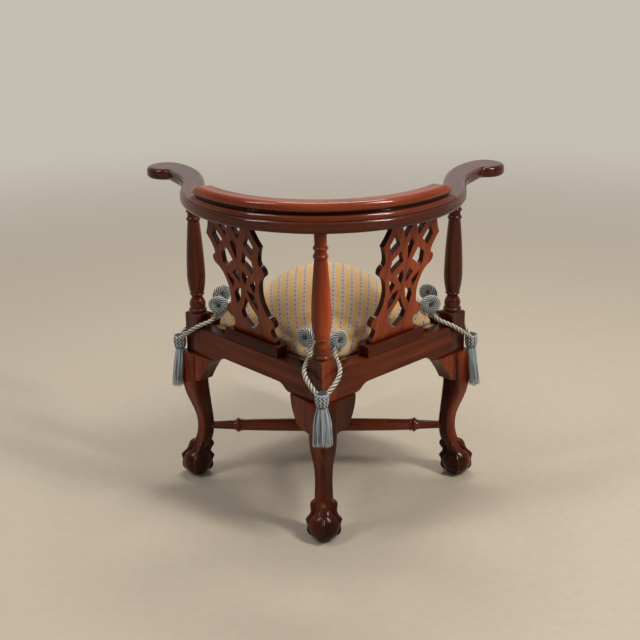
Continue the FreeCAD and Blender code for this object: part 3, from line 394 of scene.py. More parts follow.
def mahogany(name, along, tone, faceWay):
    if name in mahoganyMade:
        return mahoganyMade[name]
    spec = mahoganySpec
    material, tree, shader = newMaterial("mahogany" + name)
    coords = objectCoords(tree)
    if along == "bend":
        grain = bentGrain(tree, coords)
    else:
        turn = Vector(along).to_track_quat("X", "Z").inverted().to_euler()
        grain = addNode(tree, "ShaderNodeMapping", {"Vector": coords, "Rotation": turn}).outputs[0]
    inputs = {"Grain": grain, "Tone": toneWithPaintedLight(tree, name, coords, tone, faceWay)}
    wood = addNode(tree, "ShaderNodeGroup", inputs, node_tree=mahoganyTree).outputs
    soft = addNode(tree, "ShaderNodeBevel", {"Radius": spec["softEdge"]}, samples=4).outputs[0]
    inputs = {"Height": wood["Relief"], "Strength": spec["poreStrength"], "Distance": spec["poreDepth"]}
    bump = addNode(tree, "ShaderNodeBump", inputs, invert=True)
    tree.links.new(soft, bump.inputs["Normal"])
    tree.links.new(bump.outputs[0], shader.inputs["Normal"])
    tree.links.new(wood["Color"], shader.inputs["Base Color"])
    tree.links.new(wood["Roughness"], shader.inputs["Roughness"])
    shader.inputs["Specular IOR Level"].default_value = spec["gloss"]
    shader.inputs["Coat Weight"].default_value = spec["coatOf"].get(name, spec["coat"])
    shader.inputs["Coat Roughness"].default_value = spec["coatRoughness"]
    mahoganyMade[name] = material
    return material


def setMaterials(obj, *materials):
    obj.data.materials.clear()
    for material in materials:
        obj.data.materials.append(material)


def smoothFaces(mesh):
    mesh.polygons.foreach_set("use_smooth", [True] * len(mesh.polygons))


def woodOf(node):
    for start, finish in woodSpec.items():
        if node.startswith(start):
            return mahogany(*finish)


slotOf = {part["node"]: part["material_slot"] for part in frame["record"]["subparts"]}
for node, slotName in slotOf.items():
    if slotName == "mahogany":
        setMaterials(cad[node], woodOf(node))
        smoothFaces(cad[node].data)
print("wood finished")


# Threads and strands: every one is a closed tube, gathered in a store that becomes one mesh

def newStore():
    return {"count": 0, "points": [], "faces": [], "slots": [], "lay": [], "tone": []}


def turnedAboutZ(points, degrees):
    c, s = math.cos(math.radians(degrees)), math.sin(math.radians(degrees))
    x, y, z = np.asarray(points, float).T
    return np.stack([c * x - s * y, s * x + c * y, z], 1)


def unit(vectors):
    return vectors / np.linalg.norm(vectors, axis=-1, keepdims=True)


def lengthSoFar(points):
    return np.concatenate([[0.0], np.cumsum(np.linalg.norm(np.diff(points, axis=0), axis=1))])


def evenly(points, step):
    run = lengthSoFar(points)
    marks = np.linspace(0.0, run[-1], max(int(round(run[-1] / step)), 2) + 1)
    return np.stack([np.interp(marks, run, points[:, k]) for k in range(3)], 1), marks


def carriedSide(ahead):
    side = np.zeros_like(ahead)
    last = np.array([0.31, 0.87, 0.39])  # any way that no path starts along
    for index, way in enumerate(ahead):  # each side is the one before it, laid square to the path
        last = unit(last - way * (last @ way))
        side[index] = last
    return side


def addTube(store, points, radius, sides=8, slot=0, closed=False, toward=None, tone=0.5):
    points = np.asarray(points, float)
    count = len(points)
    if closed:
        ahead = unit(np.roll(points, -1, 0) - np.roll(points, 1, 0))
    else:
        ahead = unit(np.gradient(points, axis=0))
    if toward is None:
        side = carriedSide(ahead)
    else:
        side = unit(toward - ahead * np.sum(toward * ahead, 1, keepdims=True))
    up = np.cross(ahead, side)
    angle = 2.0 * np.pi * np.arange(sides) / sides
    wide = np.broadcast_to(radius, count)[:, None, None]
    spoke = np.cos(angle)[:, None] * side[:, None] + np.sin(angle)[:, None] * up[:, None]
    ring = points[:, None] + wide * spoke
    ids = store["count"] + np.arange(count * sides).reshape(count, sides)
    low, high = (ids, np.roll(ids, -1, 0)) if closed else (ids[:-1], ids[1:])
    quads = np.stack([low, np.roll(low, -1, 1), np.roll(high, -1, 1), high], -1).reshape(-1, 4).tolist()
    if not closed:
        quads += [ids[0, ::-1].tolist(), ids[-1].tolist()]
    lay = np.empty((count, sides, 3))
    lay[..., 0], lay[..., 1], lay[..., 2] = np.cos(angle), np.sin(angle), lengthSoFar(points)[:, None]
    store["points"].append(ring.reshape(-1, 3))
    store["faces"] += quads
    store["slots"] += [slot] * len(quads)
    store["lay"].append(lay.reshape(-1, 3))
    store["tone"].append(np.repeat(np.broadcast_to(tone, count), sides))
    store["count"] += count * sides


def storeToObject(name, store, materials, degrees=0.0):
    mesh = bpy.data.meshes.new(name)
    mesh.from_pydata(turnedAboutZ(np.concatenate(store["points"]), degrees).tolist(), [], store["faces"])
    lay = mesh.attributes.new("lay", "FLOAT_VECTOR", "POINT")
    lay.data.foreach_set("vector", np.concatenate(store["lay"]).ravel())
    tone = mesh.attributes.new("tone", "FLOAT", "POINT")
    tone.data.foreach_set("value", np.concatenate(store["tone"]))
    for material in materials:
        mesh.materials.append(material)
    mesh.polygons.foreach_set("material_index", store["slots"])
    smoothFaces(mesh)
    obj = bpy.data.objects.new(name, mesh)
    scene.collection.objects.link(obj)
    return obj


# Yarn: silky cord whose own twist shows as fine slanting lines

yarnSpec = {
    # pale, dark, yarns round a strand, twist length in metres, roughness
    "cream": ((0.66, 0.60, 0.48, 1.0), (0.34, 0.30, 0.23, 1.0), 7.0, 0.0075, 0.55),
    "slate": ((0.10, 0.095, 0.085, 1.0), (0.030, 0.028, 0.026, 1.0), 7.0, 0.0075, 0.55),
    "silver": ((0.62, 0.64, 0.61, 1.0), (0.34, 0.37, 0.37, 1.0), 7.0, 0.0075, 0.5),
    "ink": ((0.045, 0.058, 0.070, 1.0), (0.012, 0.016, 0.021, 1.0), 7.0, 0.0075, 0.6),
    "knotPale": ((0.66, 0.68, 0.68, 1.0), (0.30, 0.33, 0.35, 1.0), 5.0, 0.0060, 0.5),
    "knotDark": ((0.13, 0.155, 0.19, 1.0), (0.022, 0.028, 0.040, 1.0), 5.0, 0.0060, 0.5),
}

yarnFinish = {
    "twistLift": 0.55, "fuzzLift": 0.9,  # how far the twist and the fuzz move the colour from dark to pale
    "fuzzScale": 900.0, "fuzzDetail": 3.0,
    "paintedHollowShade": (0.003, 0.25, 0.8, 0.3),  # painted shade in hollows: reach, range, darkest share
    "bump": (0.5, 0.0003),
    "sheen": 0.25, "sheenRoughness": 0.4, "gloss": 0.3,
}


def yarn(name, finish):
    pale, dark, yarns, twist, roughness = yarnSpec[name]
    material, tree, shader = newMaterial("yarn" + name[0].upper() + name[1:])
    lay = parted(tree, attribute(tree, "lay", "Vector"))
    around = times(tree, reckon(tree, "ARCTAN2", lay[1], lay[0]), yarns)
    along = times(tree, lay[2], -2.0 * math.pi * yarns / twist)
    wave = reckon(tree, "SINE", reckon(tree, "ADD", around, along))
    level = ranged(tree, wave, -1.0, 1.0, 0.0, finish["twistLift"])
    fuzz = noised(tree, objectCoords(tree), finish["fuzzScale"], finish["fuzzDetail"])
    lift = reckon(tree, "ADD", level, times(tree, fuzz, finish["fuzzLift"]), use_clamp=True)
    # painted shade in the hollows between strands
    depth = paintedHollowShade(tree, *finish["paintedHollowShade"])
    tree.links.new(scaled(tree, blended(tree, lift, dark, pale), depth), shader.inputs["Base Color"])
    tree.links.new(bumped(tree, lift, *finish["bump"]), shader.inputs["Normal"])
    shader.inputs["Roughness"].default_value = roughness
    shader.inputs["Sheen Weight"].default_value = finish["sheen"]
    shader.inputs["Sheen Roughness"].default_value = finish["sheenRoughness"]
    shader.inputs["Specular IOR Level"].default_value = finish["gloss"]
    return material


yarns = {name: yarn(name, yarnFinish) for name in yarnSpec}


# Ropes of the ties, on the same route as their solids

ropeSpec = {
    "route": [  # aside from the corner's middle, from the chair's centre, height; right-hand rope
        (0.01895, 0.1879, 0.3300), (0.01895, 0.1879, 0.3225), (0.0194, 0.1896, 0.3148),
        (0.0210, 0.1954, 0.3082), (0.0239, 0.2044, 0.3040), (0.0269, 0.2144, 0.3012),
        (0.0286, 0.2248, 0.2968), (0.0270, 0.2346, 0.2900), (0.0216, 0.2434, 0.2826),
        (0.0146, 0.2508, 0.2756), (0.0076, 0.2568, 0.2684),
    ],
    "diameter": 0.008,
    "length": 0.105,
    "strands": 3, "sides": 10,
    # radius of the strands, offset from the rope's middle, shift in strands
    "yarn": {"cream": (0.00180, 0.00220, 0.0), "slate": (0.00105, 0.00285, 0.5)},
    "lay": 0.0235,
    "step": 0.0008,
}


def splinePoints(route):
    curve = bpy.data.curves.new("routeLine", "CURVE")
    curve.dimensions = "3D"
    curve.resolution_u = 16
    spline = curve.splines.new("NURBS")
    spline.points.add(len(route) - 1)
    for point, place in zip(spline.points, route):
        point.co = (*place, 1.0)
    spline.order_u = 3
    spline.use_endpoint_u = True
    carrier = bpy.data.objects.new("routeLine", curve)
    mesh = bpy.data.meshes.new_from_object(carrier)
    points = np.array([vertex.co[:] for vertex in mesh.vertices])
    bpy.data.meshes.remove(mesh)
    bpy.data.objects.remove(carrier)
    bpy.data.curves.remove(curve)
    return points


def makeRope(corner, hand, spec):
    way = 1.0 if hand == "right" else -1.0
    route = [(way * aside, -reach, height) for aside, reach, height in spec["route"]]
    line, marks = evenly(splinePoints(turnedAboutZ(route, tiedCorners[corner]).tolist()), spec["step"])
    ahead = unit(np.gradient(line, axis=0))
    side = carriedSide(ahead)
    up = np.cross(ahead, side)
    store = newStore()
    for slot, (radius, offset, shift) in enumerate(spec["yarn"].values()):
        for index in range(spec["strands"]):
            angle = (2.0 * np.pi * (marks / spec["lay"] + (index + shift) / spec["strands"]))[:, None]
            outwards = np.cos(angle) * side + np.sin(angle) * up
            addTube(store, line + offset * outwards, radius, spec["sides"], slot, toward=outwards)
    rope = storeToObject(corner + "_rope_" + hand + "_twist", store, [yarns[color] for color in spec["yarn"]])
    return rope, line


# Rosettes: a fat rope ring wound so tight that its strands run in from rim to middle

rosetteSpec = {
    "aside": 0.0265, "reach": 0.1830, "height": 0.3370,
    "turnDegrees": {"back right": 33.0, "back left": 33.0, "right left": 74.0, "right right": 55.0,
                    "left right": 74.0, "left left": 55.0},
    "drop": {"back right": 0.0050, "left left": -0.0030, "right right": -0.0030},  # below its fellow
    "oval": {"left right": 1.20, "right left": 1.20, "left left": 1.12, "right right": 1.12},  # pulled wide
    "ringRadius": 0.0093,
    "halfWide": 0.0061, "halfDeep": 0.0041,
    "strands": 7, "blades": 16,  # seven strands that meet end to end, sixteen blades round the ring
    "strandPoints": 700, "strandSides": 7,
    # radius of the strands, share of their offset, shift
    "yarn": {"silver": (0.00064, 1.0, 0.0), "ink": (0.00108, 0.87, 0.5)},
    "twist": {"back": -1.0, "right": -1.0, "left": 1.0},
    "coreRadius": 0.0040, "corePoints": 48, "coreSides": 10,
    "plugRing": 0.0017, "plugRadius": 0.0017, "plugProud": 0.0012, "plugPoints": 24, "plugSides": 8,
}


def makeRosette(corner, hand, spec):
    way = 1.0 if hand == "right" else -1.0
    place = corner + " " + hand
    turn = math.radians(spec["turnDegrees"][place])
    across = spec["oval"].get(place, 1.0) * np.array([math.cos(turn), way * math.sin(turn), 0.0])
    facing = np.array([way * math.sin(turn), -math.cos(turn), 0.0])
    rise = np.array([0.0, 0.0, 1.0])
    middle = np.array([way * spec["aside"], -spec["reach"], spec["height"] - spec["drop"].get(place, 0.0)])
    store = newStore()

    def ringPoints(radius, count, rounds=1):
        angle = (2.0 * np.pi * rounds * np.arange(count) / count)[:, None]
        outwards = np.cos(angle) * across + np.sin(angle) * rise
        return angle, outwards, middle + radius * outwards

    for slot, (radius, share, shift) in enumerate(spec["yarn"].values()):
        angle, outwards, line = ringPoints(spec["ringRadius"], spec["strandPoints"], spec["strands"])
        swing = spec["twist"][corner] * (spec["blades"] * angle + 2.0 * np.pi * shift) / spec["strands"]
        wide = spec["halfWide"] * np.cos(swing)
        offset = share * (wide * outwards + spec["halfDeep"] * np.sin(swing) * facing)
        spread = radius * (1.0 + wide / spec["ringRadius"])[:, 0]  # blades widen towards the rim
        addTube(store, line + offset, spread, spec["strandSides"], slot, closed=True, toward=offset)
    angle, outwards, line = ringPoints(spec["ringRadius"], spec["corePoints"])
    addTube(store, line, spec["coreRadius"], spec["coreSides"], 1, closed=True, toward=outwards)
    angle, outwards, line = ringPoints(spec["plugRing"], spec["plugPoints"])
    line = line + spec["plugProud"] * facing
    addTube(store, line, spec["plugRadius"], spec["plugSides"], 1, closed=True, toward=outwards)
    return storeToObject(corner + "_rosette_" + hand + "_swirl", store,
                         [yarns[color] for color in spec["yarn"]], tiedCorners[corner])


# Knots: a turk's head of doubled strands round a dark core

knotSpec = {
    "reach": 0.2585, "bottom": 0.2480, "tall": 0.0240,
    "radii": ((0.0, 0.0094), (0.25, 0.0108), (0.6, 0.0117), (1.0, 0.0112)),  # height share, outer radius
    "leads": 7, "bights": 10,
    "weaveDepth": 0.0008,
    "softness": 0.985,  # of the zigzag's turns: 1 is sharp
    "crossing": 4.0,  # how soon a strand changes from over to under
    "strandRadius": 0.00102, "strandPoints": 1800, "strandSides": 8,
    "apart": 0.00102,  # of each strand of a pair from the pair's middle
    "topRings": (0.0088, 0.0064, 0.0040, 0.0016), "topRadius": 0.001275, "topPoints": 48,
    "coreStart": 0.06, "coreEnd": 0.90, "corePoints": 12, "coreSides": 24, "coreInset": 0.002652,
    "yarn": ("knotPale", "knotDark", "ink"),
}


def makeKnot(corner, spec):
    shares, radii = np.array(spec["radii"]).T
    store = newStore()
    leads, bights = spec["leads"], spec["bights"]
    t = 2.0 * np.pi * np.arange(spec["strandPoints"]) / spec["strandPoints"]
    half = spec["tall"] / 2.0 - spec["strandRadius"] - spec["apart"]
    middle = spec["bottom"] + spec["tall"] / 2.0
    climb = np.arcsin(np.cos(bights * t) * spec["softness"]) / np.arcsin(spec["softness"])
    weave = np.cos(leads * bights * t) * np.tanh(spec["crossing"] * np.sin(bights * t))
    height = middle + half * climb
    radius = np.interp((height - spec["bottom"]) / spec["tall"], shares, radii) - spec["strandRadius"]
    radius -= spec["weaveDepth"] * (1.0 - weave)
    line = np.stack([radius * np.cos(leads * t), radius * np.sin(leads * t) - spec["reach"], height], 1)
    outwards = unit(line - np.stack([0 * t, 0 * t - spec["reach"], height], 1))
    ahead = unit(np.roll(line, -1, 0) - np.roll(line, 1, 0))
    across = unit(np.cross(outwards, ahead))
    for slot, way in enumerate((1.0, -1.0)):
        strand = line + way * spec["apart"] * across
        addTube(store, strand, spec["strandRadius"], spec["strandSides"], slot, closed=True, toward=outwards)
    lid = np.array([0.0, -spec["reach"], spec["bottom"] + spec["tall"] - spec["strandRadius"]])
    around = 2.0 * np.pi * np.arange(spec["topPoints"]) / spec["topPoints"]
    for size in spec["topRings"]:  # cord wound over the top
        ring = size * np.stack([np.cos(around), np.sin(around), 0.0 * around], 1)
        addTube(store, lid + ring, spec["topRadius"], spec["strandSides"], 2, closed=True, toward=ring)
    share = np.linspace(spec["coreStart"], spec["coreEnd"], spec["corePoints"])
    core = np.stack([0 * share, 0 * share - spec["reach"], spec["bottom"] + share * spec["tall"]], 1)
    addTube(store, core, np.interp(share, shares, radii) - spec["coreInset"], spec["coreSides"], 1)
    return storeToObject(corner + "_knot_weave", store, [yarns[color] for color in spec["yarn"]],
                         tiedCorners[corner])


# Tassels: rows of hanging threads that lie over the knee

tasselSpec = {
    "rows": ((1.00, 76), (0.84, 62), (0.66, 48), (0.44, 32)),  # share of the skirt's width, threads
    "length": {"back": 0.0630, "right": 0.0690, "left": 0.0690}, "ragged": 0.0034,
    "leanDegrees": 6.5,
    "headUp": 0.0040,
    "fall": (-0.0040, 0.0060, 0.0150, 0.0280, 0.0680),  # drops at which half width and depth are given
    "halfWide": (0.0072, 0.0088, 0.0118, 0.0142, 0.0152),
    "halfDeep": (0.0072, 0.0078, 0.0086, 0.0090, 0.0092),
    "stray": 0.0007, "waveHigh": 0.0004, "waveLong": 0.011,
    "threadRadius": 0.00052, "threadPoints": 12, "threadSides": 5,
    "thinFrom": 9, "thinEnd": 0.7,  # point after which a thread thins, share of the radius at its tip
    "bundles": 9.0, "bundleTone": 0.32, "threadTone": 0.22,
    "legGap": 0.0009, "legFrom": 0.0030,  # kept off the knee, from this far below the knot
    "seed": 11,
}

threadSpec = {
    "light": (0.60, 0.65, 0.68, 1.0), "dark": (0.070, 0.115, 0.160, 1.0), "tip": (0.74, 0.77, 0.77, 1.0),
    "tipRange": (0.060, 0.070), "tipShare": 0.75,
    "paintedHollowShade": (0.004, 0.1, 0.7, 0.35),  # painted shade in hollows: reach, range, darkest share
    "roughness": 0.42, "gloss": 0.4, "sheen": 0.2,
}


def threadMaterial(spec):
    material, tree, shader = newMaterial("tasselThread")
    body = blended(tree, attribute(tree, "tone", "Fac"), spec["dark"], spec["light"])
    drop = parted(tree, attribute(tree, "lay", "Vector"))[2]
    color = blended(tree, ranged(tree, drop, *spec["tipRange"], 0.0, spec["tipShare"]), body, spec["tip"])
    # painted shade where the threads crowd
    depth = paintedHollowShade(tree, *spec["paintedHollowShade"])
    tree.links.new(scaled(tree, color, depth), shader.inputs["Base Color"])
    shader.inputs["Roughness"].default_value = spec["roughness"]
    shader.inputs["Specular IOR Level"].default_value = spec["gloss"]
    shader.inputs["Sheen Weight"].default_value = spec["sheen"]
    return material


tasselThread = threadMaterial(threadSpec)


def surfaceTree(*nodes):
    points, faces = [], []
    for node in nodes:
        mesh = cad[node].data
        start = len(points)
        points += [vertex.co[:] for vertex in mesh.vertices]
        faces += [[start + corner for corner in face.vertices] for face in mesh.polygons]
    return BVHTree.FromPolygons(points, faces)


def keptOffKnee(line, knee, spec):
    for spot in line:
        if spot[2] < knotSpec["bottom"] - spec["legFrom"]:
            near, normal, face, far = knee.find_nearest(Vector(spot))
            off = (Vector(spot) - near).dot(normal)
            if off < spec["legGap"]:
                spot += np.array(normal) * (spec["legGap"] - off)


def makeTassels(spec):
    rng = np.random.default_rng(spec["seed"])
    knee = surfaceTree("back_leg", "back_bracket_left", "back_bracket_right")
    pivot = np.array([0.0, -knotSpec["reach"], knotSpec["bottom"]])
    lean = math.radians(spec["leanDegrees"])
    count = spec["threadPoints"]
    taper = np.interp(np.arange(count), (0, spec["thinFrom"], count - 1), (1.0, 1.0, spec["thinEnd"]))
    tassels = {corner: newStore() for corner in tiedCorners}
    for corner, share, threads in [(corner, *row) for corner in tiedCorners for row in spec["rows"]]:
        for index in range(threads):
            around = 2.0 * np.pi * (index + 0.5 * rng.random()) / threads
            long = spec["length"][corner] + spec["ragged"] * rng.uniform(-1.0, 0.8)
            drop = np.linspace(-spec["headUp"], long, count)
            wide = np.interp(drop, spec["fall"], spec["halfWide"])
            deep = np.interp(drop, spec["fall"], spec["halfDeep"])
            stray = spec["stray"] * rng.normal(size=2) * np.clip(drop / long, 0.0, 1.0)[:, None] ** 2
            wave = spec["waveHigh"] * np.sin(drop / spec["waveLong"] + 6.3 * rng.random())
            x = share * wide * math.cos(around) + stray[:, 0] + wave
            y = share * deep * math.sin(around) + stray[:, 1]
            line = pivot + np.stack([x, y * math.cos(lean) - drop * math.sin(lean),
                                     -drop * math.cos(lean) - y * math.sin(lean)], 1)
            keptOffKnee(line, knee, spec)
            bundle = 0.5 + spec["bundleTone"] * math.sin(spec["bundles"] * around + 2.0 * share)
            tone = float(np.clip(bundle + spec["threadTone"] * rng.normal(), 0.0, 1.0))
            addTube(tassels[corner], line, spec["threadRadius"] * taper, spec["threadSides"], 0, tone=tone)
    for corner, degrees in tiedCorners.items():
        tassels[corner] = storeToObject(corner + "_tassel_threads", tassels[corner], [tasselThread], degrees)
    return tassels, pivot


def makeTies():
    tassels, pivot = makeTassels(tasselSpec)
    for corner, degrees in tiedCorners.items():
        knot = makeKnot(corner, knotSpec)
        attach(knot, chairBody)
        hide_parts(corner + "_knot")
        for hand in ("right", "left"):
            rosette = makeRosette(corner, hand, rosetteSpec)
            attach(rosette, chairBody)
            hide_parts(corner + "_rosette_" + hand)
            rope, line = makeRope(corner, hand, ropeSpec)
            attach(rope, chairBody)
            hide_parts(corner + "_rope_" + hand)
        tassel = tassels[corner]
        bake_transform(tassel)
        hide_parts(corner + "_tassel")


makeTies()
print("ropes, rosettes, knots and tassels made")


# Cushion: the seat's soft solid, blown up as cloth, then gathered at its corners

cushionSpec = {
    "voxel": 0.005,
    "pressure": 4.0,
    "stiffness": 25.0,
    "frames": 20,
    "cap": 0.005,  # furthest that a point may move as it swells
    "shrink": 0.985,  # size that it starts from
    "seam": 0.308,  # height of the widest line
    "board": 0.285, "boardGap": 0.0002,
    "halfWide": 0.1465,  # between the rails
    # the top is a part of a ball
    "crownRadius": 0.142, "crownFull": 0.085, "crownEnd": 0.122, "crownDrop": 0.0020,
    # corners bulge over the rails like a bag: along the rail, from the shoe to the rope, and in height
    "railTop": 0.2962, "bagReach": 0.120, "bagOut": 0.011,
    "bagStart": (0.074, 0.096), "bagEnd": (0.118, 0.106),
    "bagFoot": (0.2962, 0.2992), "bagTop": (0.375, 0.335),
    "gatherAt": 0.19045, "gatherReach": 0.075, "gatherDeep": 0.0016, "gathers": 11.0,
    "gridHalf": 0.215, "gridCount": 173, "gridAbove": 0.6, "steepest": 2.5,  # for lengths along the cloth
    "fill": 0.9,
}

fabricSpec = {
    "gold": (0.54, 0.335, 0.125, 1.0), "goldShade": (0.44, 0.265, 0.090, 1.0),
    "stripe": (0.34, 0.30, 0.275, 1.0), "edge": (0.55, 0.50, 0.47, 1.0),
    "red": (0.23, 0.062, 0.055, 1.0), "blue": (0.095, 0.098, 0.125, 1.0),
    "pitch": 0.0164, "stripeWide": 0.0070, "stripeSoft": 0.0005,
    "edgeFrom": 0.0016, "edgeTo": 0.0004, "edgeShare": 0.20,  # inwards from the stripe's side
    "dotPitch": 0.0096, "dotRadius": 0.0018, "dotSoft": 0.0004, "dotShare": 0.82,
    "thread": 0.00055,
    "slubScale": 260.0, "slubDetail": 4.0, "slubRange": (0.2, 0.75, 0.70, 0.98),
    "cloudScale": 18.0, "cloudDetail": 2.0, "cloudRange": (0.3, 0.7, 0.94, 1.04),
    "weaveRange": (-1.0, 1.0, 0.90, 1.05),
    "weaveRelief": 0.5, "slubRelief": 0.8, "stripeRelief": 0.5, "bump": (0.45, 0.00025),
    "roughness": 0.72, "sheen": 0.10, "sheenRoughness": 0.5, "gloss": 0.15,
}


def pointsOf(mesh):
    return np.array([vertex.co[:] for vertex in mesh.vertices])


def cushionMesh(spec):
    source = bpy.data.objects.new("cushionStart", cad["cushion"].data.copy())
    scene.collection.objects.link(source)
    middle = np.array([0.0, 0.0, spec["seam"]])
    smaller = middle + (pointsOf(source.data) - middle) * spec["shrink"]
    source.data.vertices.foreach_set("co", smaller.ravel())
    remesh = source.modifiers.new("remesh", "REMESH")
    remesh.mode = "VOXEL"
    remesh.voxel_size = spec["voxel"]
    mesh = bpy.data.meshes.new_from_object(source.evaluated_get(bpy.context.evaluated_depsgraph_get()))
    source.modifiers.clear()
    source.data = mesh
    swell(source, spec)
    return source


def swell(source, spec):
    before = pointsOf(source.data)
    cloth = source.modifiers.new("swell", "CLOTH")
    cloth.settings.use_pressure = True
    cloth.settings.uniform_pressure_force = spec["pressure"]
    cloth.settings.effector_weights.gravity = 0.0
    cloth.settings.tension_stiffness = spec["stiffness"]
    cloth.settings.compression_stiffness = spec["stiffness"]
    cloth.collision_settings.use_collision = False
    for number in range(1, spec["frames"] + 1):
        scene.frame_set(number)
    swollen = source.evaluated_get(bpy.context.evaluated_depsgraph_get())
    after = pointsOf(swollen.to_mesh())
    swollen.to_mesh_clear()
    source.modifiers.clear()
    scene.frame_set(1)
    move = after - before
    far = np.linalg.norm(move, axis=1, keepdims=True)
    move *= np.minimum(1.0, spec["cap"] / np.maximum(far, 1e-9))
    source.data.vertices.foreach_set("co", (before + move).ravel())


def eased(value, zero, one):
    share = np.clip((value - zero) / (one - zero), 0.0, 1.0)
    return share * share * (3.0 - 2.0 * share)


def raiseCrown(places, spec):
    reach = np.hypot(places[:, 0], places[:, 1])
    radius = spec["crownRadius"]
    middle = places[:, 2].max() - spec["crownDrop"] - radius
    ball = middle + np.sqrt(np.maximum(radius ** 2 - reach ** 2, 0.0))
    share = eased(reach, spec["crownEnd"], spec["crownFull"]) * (places[:, 2] > spec["seam"])
    places[:, 2] += share * (ball - places[:, 2])


def bagCorner(places, normals, turn, spec):
    out = np.array([math.sin(turn), -math.cos(turn), 0.0])
    aside = np.array([-out[1], out[0], 0.0])
    gap = places - (out * spec["gatherAt"] + (0.0, 0.0, spec["seam"]))
    far = np.linalg.norm(gap, axis=1)
    angle = np.arctan2(gap @ aside, -(gap @ out) + 1e-6)
    fade = np.clip(1.0 - far / spec["gatherReach"], 0.0, 1.0) ** 1.5
    along = (places @ out - np.abs(places @ aside)) / math.sqrt(2.0)
    push = eased(along, *spec["bagStart"]) * eased(along, *spec["bagEnd"])
    push *= eased(places[:, 2], *spec["bagFoot"]) * eased(places[:, 2], *spec["bagTop"])
    bagged = places * (1.0, 1.0, 0.0) - out * spec["bagReach"]
    places += unit(bagged + 1e-9) * (spec["bagOut"] * push)[:, None]
    places += normals * (spec["gatherDeep"] * fade * np.sin(spec["gathers"] * angle))[:, None]


def keepInRails(places, spec):
    railed = places[:, 2] < spec["railTop"]
    square = np.stack([places[:, 0] - places[:, 1], places[:, 0] + places[:, 1]], 1) / math.sqrt(2.0)
    square[railed] = np.clip(square[railed], -spec["halfWide"], spec["halfWide"])
    places[:, 0] = (square[:, 0] + square[:, 1]) / math.sqrt(2.0)
    places[:, 1] = (square[:, 1] - square[:, 0]) / math.sqrt(2.0)
    places[:, 2] = np.maximum(places[:, 2], spec["board"] + spec["boardGap"])


def settleCushion(source, spec):
    mesh = source.data
    mesh.update()
    places = pointsOf(mesh)
    normals = np.array([vertex.normal[:] for vertex in mesh.vertices])
    raiseCrown(places, spec)
    for corner in range(4):
        bagCorner(places, normals, corner * math.pi / 2.0, spec)
    keepInRails(places, spec)
    mesh.vertices.foreach_set("co", places.ravel())
    mesh.update()
    return places


def clothRuns(source, places, spec):
    # how far each point lies from the crown along the cloth, sideways and front to back
    tree = BVHTree.FromPolygons(places.tolist(), [list(face.vertices) for face in source.data.polygons])
    half, count = spec["gridHalf"], spec["gridCount"]
    marks = np.linspace(-half, half, count)
    step = marks[1] - marks[0]
    heights = np.full((count, count), spec["seam"])
    for row, y in enumerate(marks):
        for column, x in enumerate(marks):
            hit = tree.ray_cast(Vector((x, y, spec["gridAbove"])), Vector((0.0, 0.0, -1.0)))[0]
            if hit is not None:
                heights[row, column] = max(hit.z, spec["seam"])
    runs = []
    for axis in (1, 0):
        slope = np.clip(np.gradient(heights, step, axis=axis), -spec["steepest"], spec["steepest"])
        run = np.cumsum(np.sqrt(1.0 + slope ** 2) * step, axis=axis)
        runs.append(run - np.take(run, [count // 2], axis=axis))
    column = np.clip((places[:, 0] + half) / step, 0, count - 1.001)
    row = np.clip((places[:, 1] + half) / step, 0, count - 1.001)
    c, r = column.astype(int), row.astype(int)
    fc, fr = column - c, row - r
    found = []
    for run in runs:
        low = run[r, c] * (1 - fc) + run[r, c + 1] * fc
        high = run[r + 1, c] * (1 - fc) + run[r + 1, c + 1] * fc
        found.append(low * (1 - fr) + high * fr)
    return np.stack([found[0], found[1], places[:, 2]], 1)


